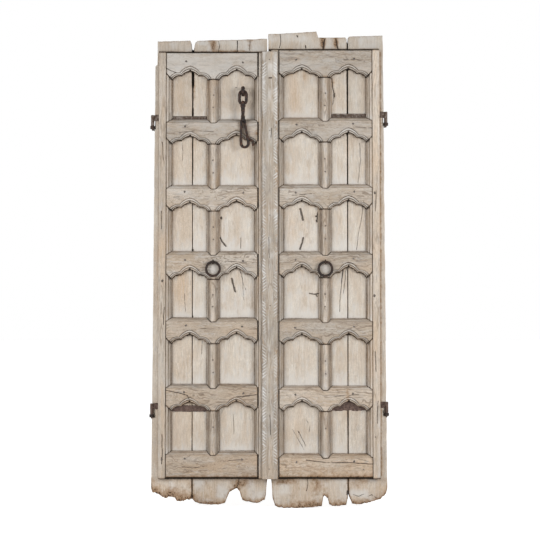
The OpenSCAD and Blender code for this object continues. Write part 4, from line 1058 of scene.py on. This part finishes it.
strip_top = RAIL_TOPS["left"][0] + STILE_OVER
strip_long = strip_top - STILE_FOOT
sprays = int((strip_long - 26) // SPRAY_PITCH)
first_spray = STILE_FOOT + (strip_long - sprays * SPRAY_PITCH + 26) / 2
z_line = even(STILE_FOOT, strip_top, 2.8)
in_line = np.concatenate([[-36, -36, -35.4, -34.6], np.linspace(-33, -13, 14), [-12.2, -11.8],
                          np.linspace(-9, 9, 6), [11.8, 12.2], np.linspace(13, 33, 14), [34.6, 35.4, 36, 36]])
z, across = np.meshgrid(z_line, in_line, indexing="ij")
spot = spots(across, z)
inward = STRIP_HALF - np.abs(across)
thick = np.minimum(STRIP_EDGE + inward * (STRIP_THICK - STRIP_EDGE) / (STRIP_HALF - BAND_HALF), STRIP_THICK)
thick = thick - 1.3 * np.exp(-inward / 0.8)
cut = 0 * z
for s in range(sprays):
    up = 1 if s % 2 == 0 else -1
    for c in range(CUTS):
        at = first_spray + s * SPRAY_PITCH + (c + 0.5) * CUT_PITCH
        far = np.abs((z - at) * math.cos(CUT_SLOPE) - up * inward * math.sin(CUT_SLOPE))
        half = np.maximum(4.4 * (1 - (inward / CUT_REACH) ** 2), 0)
        half = half * (inward < CUT_REACH) * (1 + 0.12 * math.sin(7.1 * s + 3.3 * c))
        leaf = np.clip(1 - far / np.maximum(half, 0.01), 0, 1) * (half > 0.4)
        cut = np.maximum(cut, leaf * np.minimum(half / 4.4 + 0.25, 1))
    between = first_spray + s * SPRAY_PITCH - 13
    for lean in (-1, 1):
        far = np.abs((z - between) - lean * (inward - 10) * 1.1) * 0.7
        cross = np.clip(1 - far / 1.7, 0, 1) * (inward > 4) * (inward < 17)
        cut = np.maximum(cut, 0.55 * cross)
worn = np.clip(0.72 + 0.8 * noise(spot, (40, 40, 110), 71), 0.15, 1.1)
thick = thick - CUT_DEEP * cut * worn - 0.8 * np.exp(-np.abs(np.abs(across) - BAND_HALF) / 0.6)
thick = np.where(np.arange(len(in_line))[None, :] % (len(in_line) - 1) == 0, 0.8, thick)
thick = thick - 2.2 * np.exp(-np.minimum(z - STILE_FOOT, strip_top - z) / 1.6)
bites = np.maximum(noise(spots(np.sign(across) * 40, z), (30, 30, 21), 77) - 0.35, 0) * 5
x = STRIP_MIDDLE + across - np.sign(across) * bites * np.exp(-inward / 2)
y = -FRAMING_THICK - thick + wear(spot, 73, 0.8) * (thick > 2)
flecks = 1.6 * np.clip(noise(spot, (8, 8, 12), 85) - 0.12, 0, 0.5) * np.exp(-inward / 12)
flecks = flecks * np.where(across > 0, 1.2, 0.7)
# Painted shade with dirt along the strip's edges and the plain band's edges, and darker in the deepest cuts.
dirt_and_shade = 0.95 * np.exp(-inward / 1.6) + 0.45 * (0.5 + noise(spot, (12, 12, 60), 79)) * np.exp(-inward / 9)
dirt_and_shade = dirt_and_shade + 0.5 * np.exp(-np.abs(np.abs(across) - BAND_HALF) / 0.8) + 0.22 * (cut > 0.75)
strip_marks = {
    "joint": np.clip(dirt_and_shade, 0, 1),
    "wash": 0.1 + 1.6 * np.clip(cut * 1.5, 0, 1) * worn + 0.5 * noise(spot, (14, 14, 60), 81)
            + np.interp(z, [1650, 1950], [0, 0.45]),
    "warm": np.clip(0.8 * noise(spot, (30, 30, 120), 83) - 0.1 + 2.2 * flecks, 0, 1),
    "rim": 0.9 * flecks, "tone": 0.96}
strip = board("astragal_carved", np.stack([x, y, z], -1), strip_marks, back_y=-FRAMING_THICK - 0.6,
              layers=1, seed=7)
split_open(strip, [([(4, 420), (6, 330)], 1.1), ([(-2, 1210), (1, 1120)], 1.1), ([(9, 1700), (8, 1660)], 1.3),
                   ([(1, 1927), (10, 1928)], 3.2)], 2.5, 75)
fit(strip, carved_finish, "left_leaf", "astragal")

# Nails: hand-made iron nails with small flat heads, driven through the framing into the planks and
# sunk a little below the wood.
iron, given, give = effect("old_iron", {"Place": "v", "Dark": "c", "Rust": "c", "Rust share": "f"},
                           {"Colour": "c", "Roughness": "f", "Metallic": "f", "Height": "f"})
scale_marks = speckle(iron, given["Place"], 420, 4, 0.6)
patches = speckle(iron, given["Place"], 75, 4, 0.6)
bloom = fade(iron, calc(iron, "ADD", patches, calc(iron, "MULTIPLY", given["Rust share"], 0.5)), 0.52, 0.82)
rust_colour = tint(iron, fade(iron, scale_marks, 0.4, 0.75, 0, 0.6), given["Rust"], given["Dark"])
give("Colour", tint(iron, bloom, given["Dark"], rust_colour))
give("Roughness", fade(iron, calc(iron, "ADD", bloom, scale_marks), 0.3, 1.4, 0.5, 0.9))
give("Metallic", fade(iron, bloom, 0.1, 0.8, 0.2, 0.0))
give("Height", calc(iron, "ADD", scale_marks, calc(iron, "MULTIPLY", patches, 0.6)))


def iron_finish(name, dark, rust, share, depth):
    return make_finish(name, iron, {"Dark": dark, "Rust": rust, "Rust share": share}, depth, 0.6, 0.35)


# Nails of the cover strip, the stiles, the right bottom rail and the left top panel
for at in (180, 520, 905, 1310, 1690, 2010):
    NAILS["left"].append((-STRIP_MIDDLE - 4 * math.sin(at), -FRAMING_THICK - STRIP_THICK, at, 2.4))
NAILS["left"] += [(479, -FRAMING_THICK, at, 3) for at in (222, 1017)]
NAILS["right"] += [(474, -FRAMING_THICK, at, 3) for at in (320, 950, 1412)]
NAILS["right"].append((421, -FRAMING_THICK, 176, 3))
NAILS["left"].append((150, 0, 1891, 2.6))
# Corners round a nail, and its section as [share of the radius, height]
NAIL_SIDES = 10
NAIL_RINGS = [(0.75, -3), (1, 0.1), (1, 0.7), (0.8, 1.15), (0.4, 1.3)]
nail_finish = iron_finish("nail_iron", (0.05, 0.042, 0.037, 1), (0.22, 0.19, 0.17, 1), 0.4, 0.0004)


def drive_nails(side):
    """All nails of a leaf as one piece, each head a little out of round."""
    points, polygons = [], []
    for n, (x, y, z, radius) in enumerate(NAILS[side]):
        base = len(points)
        for share, rise in NAIL_RINGS:
            for a in range(NAIL_SIDES):
                turn = a * math.tau / NAIL_SIDES
                r = radius * share * (1 + 0.16 * math.sin(2 * turn + n) + 0.08 * math.sin(3 * turn + 2.3 * n))
                points.append((LEAVES[side] * (x + r * math.cos(turn)), y - rise, z + r * math.sin(turn)))
        rings = base + np.arange(len(NAIL_RINGS) * NAIL_SIDES).reshape(-1, NAIL_SIDES)
        for low, high in zip(rings, rings[1:]):
            polygons += np.stack([low, np.roll(low, -1), np.roll(high, -1), high], -1).tolist()
        polygons += [rings[0, ::-1].tolist(), rings[-1].tolist()]
    piece = finish_mesh(f"{side}_nails", points, polygons, {}, 50)
    fit(piece, nail_finish, f"{side}_leaf")


for side in LEAVES:
    drive_nails(side)

# Hinges: wrought iron straps let into the planks behind the framing, forged in one with a pin that drops
# into an eye, and the four eyes with their spikes. They are hammered, scaled and rusty, and the straps'
# edges are eaten away.
strap_finish = {
    "upper": iron_finish("limed_strap_iron", (0.085, 0.055, 0.04, 1), (0.33, 0.285, 0.25, 1), 0.2, 0.0009),
    "lower": iron_finish("rusty_strap_iron", (0.05, 0.029, 0.022, 1), (0.17, 0.115, 0.095, 1), 0.42, 0.0009)}
# How far a strap's edges are eaten away and a lower strap stands proud, and the share of the faces kept
STRAP_EATEN, STRAP_PROUD = {"upper": 1.6, "lower": 3.4}, 1.6
IRON_KEPT = 0.36
eye_finish = iron_finish("hinge_eye_iron", (0.016, 0.0105, 0.0085, 1), (0.07, 0.043, 0.032, 1), 0.25, 0.0006)


def forge(node, voxel, dents, finish, eaten=0.0, swell=0.0, shape=None):
    """A hammered copy of an iron piece: its form filled with an even mesh, then dented."""
    rough = frame["nodes"][node].copy()
    rough.data = rough.data.copy()
    rough.parent = None
    bpy.context.scene.collection.objects.link(rough)
    weld = rough.modifiers.new("weld", "WELD")
    weld.merge_threshold = 0.00001
    even_mesh = rough.modifiers.new("even", "REMESH")
    even_mesh.mode, even_mesh.voxel_size = "VOXEL", voxel * 0.001
    bpy.context.view_layer.update()
    mesh = bpy.data.meshes.new_from_object(rough.evaluated_get(bpy.context.evaluated_depsgraph_get()))
    bpy.data.objects.remove(rough)
    work = bmesh.new()
    work.from_mesh(mesh)
    for _ in range(2):
        bmesh.ops.smooth_vert(work, verts=work.verts, factor=0.5, use_axis_x=True, use_axis_y=True,
                              use_axis_z=True)
    bmesh.ops.recalc_face_normals(work, faces=work.faces)
    work.normal_update()
    at = np.array([v.co for v in work.verts]) * 1000
    out = np.array([v.normal for v in work.verts])
    move = swell + dents * (0.6 * noise(at, 9, 31) + 0.4 * noise(at, 3.5, 37))
    if eaten:
        upright = np.abs(out[:, 2])
        bites = np.clip(noise(at, (7, 30, 30), 41) + 0.35 * noise(at, (3, 30, 30), 43), -0.4, 1)
        move = move - eaten * upright * (0.35 + 0.65 * bites)
    at = at + out * move[:, None]
    if shape is not None:
        at = shape(at)
    for v, p in zip(work.verts, at):
        v.co = p * 0.001
    work.to_mesh(mesh)
    work.free()
    mesh.name = f"{node}_forged"
    mesh.materials.clear()
    mesh.shade_smooth()
    piece = bpy.data.objects.new(f"{node}_forged", mesh)
    bpy.context.scene.collection.objects.link(piece)
    thin_out(piece, IRON_KEPT)
    fit(piece, finish, frame["nodes"][node]["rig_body"], node)


for side in LEAVES:
    for step, level in enumerate(("upper", "lower")):
        def sag(at, side=side, step=step):
            x, under = at[:, 0], at[:, 2] < STRAP_HEIGHTS[side][step]
            fall = np.where(under, strap_drop(side, step, x, 0), strap_drop(side, step, x, 1))
            along = spots(x, 0 * x)
            ragged = noise(along, 15, 51) + 0.6 * noise(along, 6, 53)
            fall = fall + step * ragged * np.where(under, 3.2, 2) * in_panel(x)
            return at - np.stack([0 * fall, STRAP_PROUD * step * in_panel(x), fall], -1)
        forge(f"{side}_{level}_strap", 1.7, 0.45, strap_finish[level],
              eaten=STRAP_EATEN[level], shape=sag)
        eye_materials = frame["nodes"][f"{side}_{level}_hinge_eye"].data.materials
        eye_materials.clear()
        eye_materials.append(eye_finish)

# Ring pulls: a forged ring on each leaf, nearly black and a little out of round, which hangs in an eye
# on a shank driven through the fourth rail.
ring_finish = iron_finish("ring_iron", (0.014, 0.009, 0.007, 1), (0.06, 0.034, 0.024, 1), 0.25, 0.0005)
RING_MIDDLE = 1071
for side, sign in LEAVES.items():
    def bend(at, sign=sign):
        across, up = at[:, 0] - sign * MUNTIN_X, at[:, 2] - RING_MIDDLE
        low = np.clip((20 - up) / 45, 0, 1)
        sunk = 0.05 * np.minimum(up - 30, 0) - 0.02 * up * low + 0.012 * across * low
        return at + np.stack([across * 0.035 * low, 0 * up, sunk], -1)
    forge(f"{side}_pull_ring", 0.9, 0.45, ring_finish, swell=0.8, shape=bend)
    forge(f"{side}_ring_staple", 0.8, 0.25, ring_finish)

# Chain hasp: a staple in the left leaf's top panel, an oval link, a twisted bar with an eye at each end,
# and a long pear-shaped loop with a small tail, all forged from round iron and brown with rust.
CHAIN_X, CHAIN_Y = -118, -36
chain_finish = iron_finish("chain_iron", (0.008, 0.005, 0.0042, 1), (0.1, 0.05, 0.033, 1), 0.26, 0.0006)


def twist(at):
    """The bar's middle is a flattened section, twisted along its length."""
    across, deep, up = at[:, 0] - CHAIN_X, at[:, 1] - CHAIN_Y, at[:, 2]
    middle = np.clip((1806 - up) / 8, 0, 1) * np.clip((up - 1754) / 8, 0, 1)
    turn = np.arctan2(deep, across) - (up - 1780) / 34 * math.pi
    swell = 1 + middle * 0.12 * np.cos(2 * turn)
    return np.stack([across * swell + CHAIN_X, deep * swell + CHAIN_Y, up], -1)


def draw_out(heights, widths, drops):
    """Hammers a piece of the chain wider or narrower, and longer, by its height."""
    def shape(at):
        x = (at[:, 0] - CHAIN_X) * np.interp(at[:, 2], heights, widths) + CHAIN_X
        return np.stack([x, at[:, 1], at[:, 2] - np.interp(at[:, 2], heights, drops)], -1)
    return shape


bar_ends = draw_out([1730, 1740, 1747, 1750.5, 1765, 1780, 1790, 1799, 1808.5, 1812, 1822, 1830],
                    [1.4, 1.9, 2.0, 1.0, 0.95, 0.93, 1.1, 1.2, 1.2, 2.2, 1.5, 1.3],
                    [0, 0, 0, 0, 0, 1.5, 3, 4.5, 6, 6, 6, 6])
forge("chain_staple", 0.9, 0.4, chain_finish, swell=1.6,
      shape=draw_out([0, 1], [1.35, 1.35], [2, 2]))
forge("chain_link", 0.8, 0.5, chain_finish, swell=0.4,
      shape=draw_out([1812, 1868], [1.06, 1.06], [7, 1]))
forge("chain_bar", 0.6, 0.3, chain_finish, swell=1.8,
      shape=lambda at: bar_ends(twist(at)))
forge("chain_loop", 0.8, 0.5, chain_finish, swell=0.1,
      shape=draw_out([1650, 1715], [1.06, 0.8], [0, 0]))

# Studio: a pale floor under the door's feet, two wide soft lamps at the sides and an even pale sky that
# shows as white.
def seen_directly(tree):
    """1 for rays from the camera, also through a mirror or glass, and 0 for light that falls on things."""
    path = put(tree, "ShaderNodeLightPath")
    indirect = calc(tree, "ADD", path["Is Glossy Ray"], path["Is Transmission Ray"])
    return calc(tree, "ADD", path["Is Camera Ray"], indirect, True)


floor_mesh = bpy.data.meshes.new("floor")
floor_mesh.from_pydata([(-30, -30, 0), (30, -30, 0), (30, 40, 0), (-30, 40, 0)], [], [(0, 1, 2, 3)])
floor = bpy.data.objects.new("floor", floor_mesh)
bpy.context.scene.collection.objects.link(floor)
floor_finish = bpy.data.materials.new("pale_floor")
floor_finish.use_nodes = True
tree = floor_finish.node_tree
shader = tree.nodes["Principled BSDF"]
shader.inputs["Base Color"].default_value = (0.9, 0.9, 0.9, 1)
shader.inputs["Roughness"].default_value = 0.9
shader.inputs["Emission Color"].default_value = (1, 1, 1, 1)
tree.links.new(calc(tree, "MULTIPLY", seen_directly(tree), 0.7), shader.inputs["Emission Strength"])
floor_mesh.materials.append(floor_finish)

world = bpy.data.worlds.new("studio")
world.use_nodes = True
bpy.context.scene.world = world
tree = world.node_tree
sky = tree.nodes["Background"]
sky.inputs["Color"].default_value = (1, 1, 1, 1)
tree.links.new(fade(tree, seen_directly(tree), 0, 1, 0.36, 1.0), sky.inputs["Strength"])


def lamp(name, at, aim, size, power):
    """A soft lamp of the given size, turned to a point."""
    light = bpy.data.lights.new(name, "AREA")
    light.shape, light.size, light.size_y, light.energy = "RECTANGLE", size[0], size[1], power
    stand = bpy.data.objects.new(name, light)
    bpy.context.scene.collection.objects.link(stand)
    stand.location = at
    away = np.subtract(at, aim)
    stand.rotation_euler = (math.acos(away[2] / np.linalg.norm(away)), 0, math.atan2(away[0], -away[1]))


lamp("left_softbox", (-2.9, -2.8, 1.8), (0, 0, 1.0), (1.2, 1.5), 72)
lamp("right_softbox", (2.9, -2.8, 1.9), (0, 0, 1.0), (1.2, 1.5), 80)

# Camera: straight in front, a little below the door's middle and tilted up, as in the photograph
CAMERA_FAR, CAMERA_TILT = 6.0, math.radians(2)
FRAME_WIDE = 2.43
AIM = (0.0036, 0.0, 1.066)
camera_data = bpy.data.cameras.new("camera")
camera_data.lens = camera_data.sensor_width * CAMERA_FAR / FRAME_WIDE
camera = bpy.data.objects.new("camera", camera_data)
bpy.context.scene.collection.objects.link(camera)
camera.location = (AIM[0], -CAMERA_FAR * math.cos(CAMERA_TILT), AIM[2] - CAMERA_FAR * math.sin(CAMERA_TILT))
camera.rotation_euler = (math.pi / 2 + CAMERA_TILT, 0, 0)
bpy.context.scene.camera = camera
bpy.context.scene.view_settings.view_transform = "Standard"
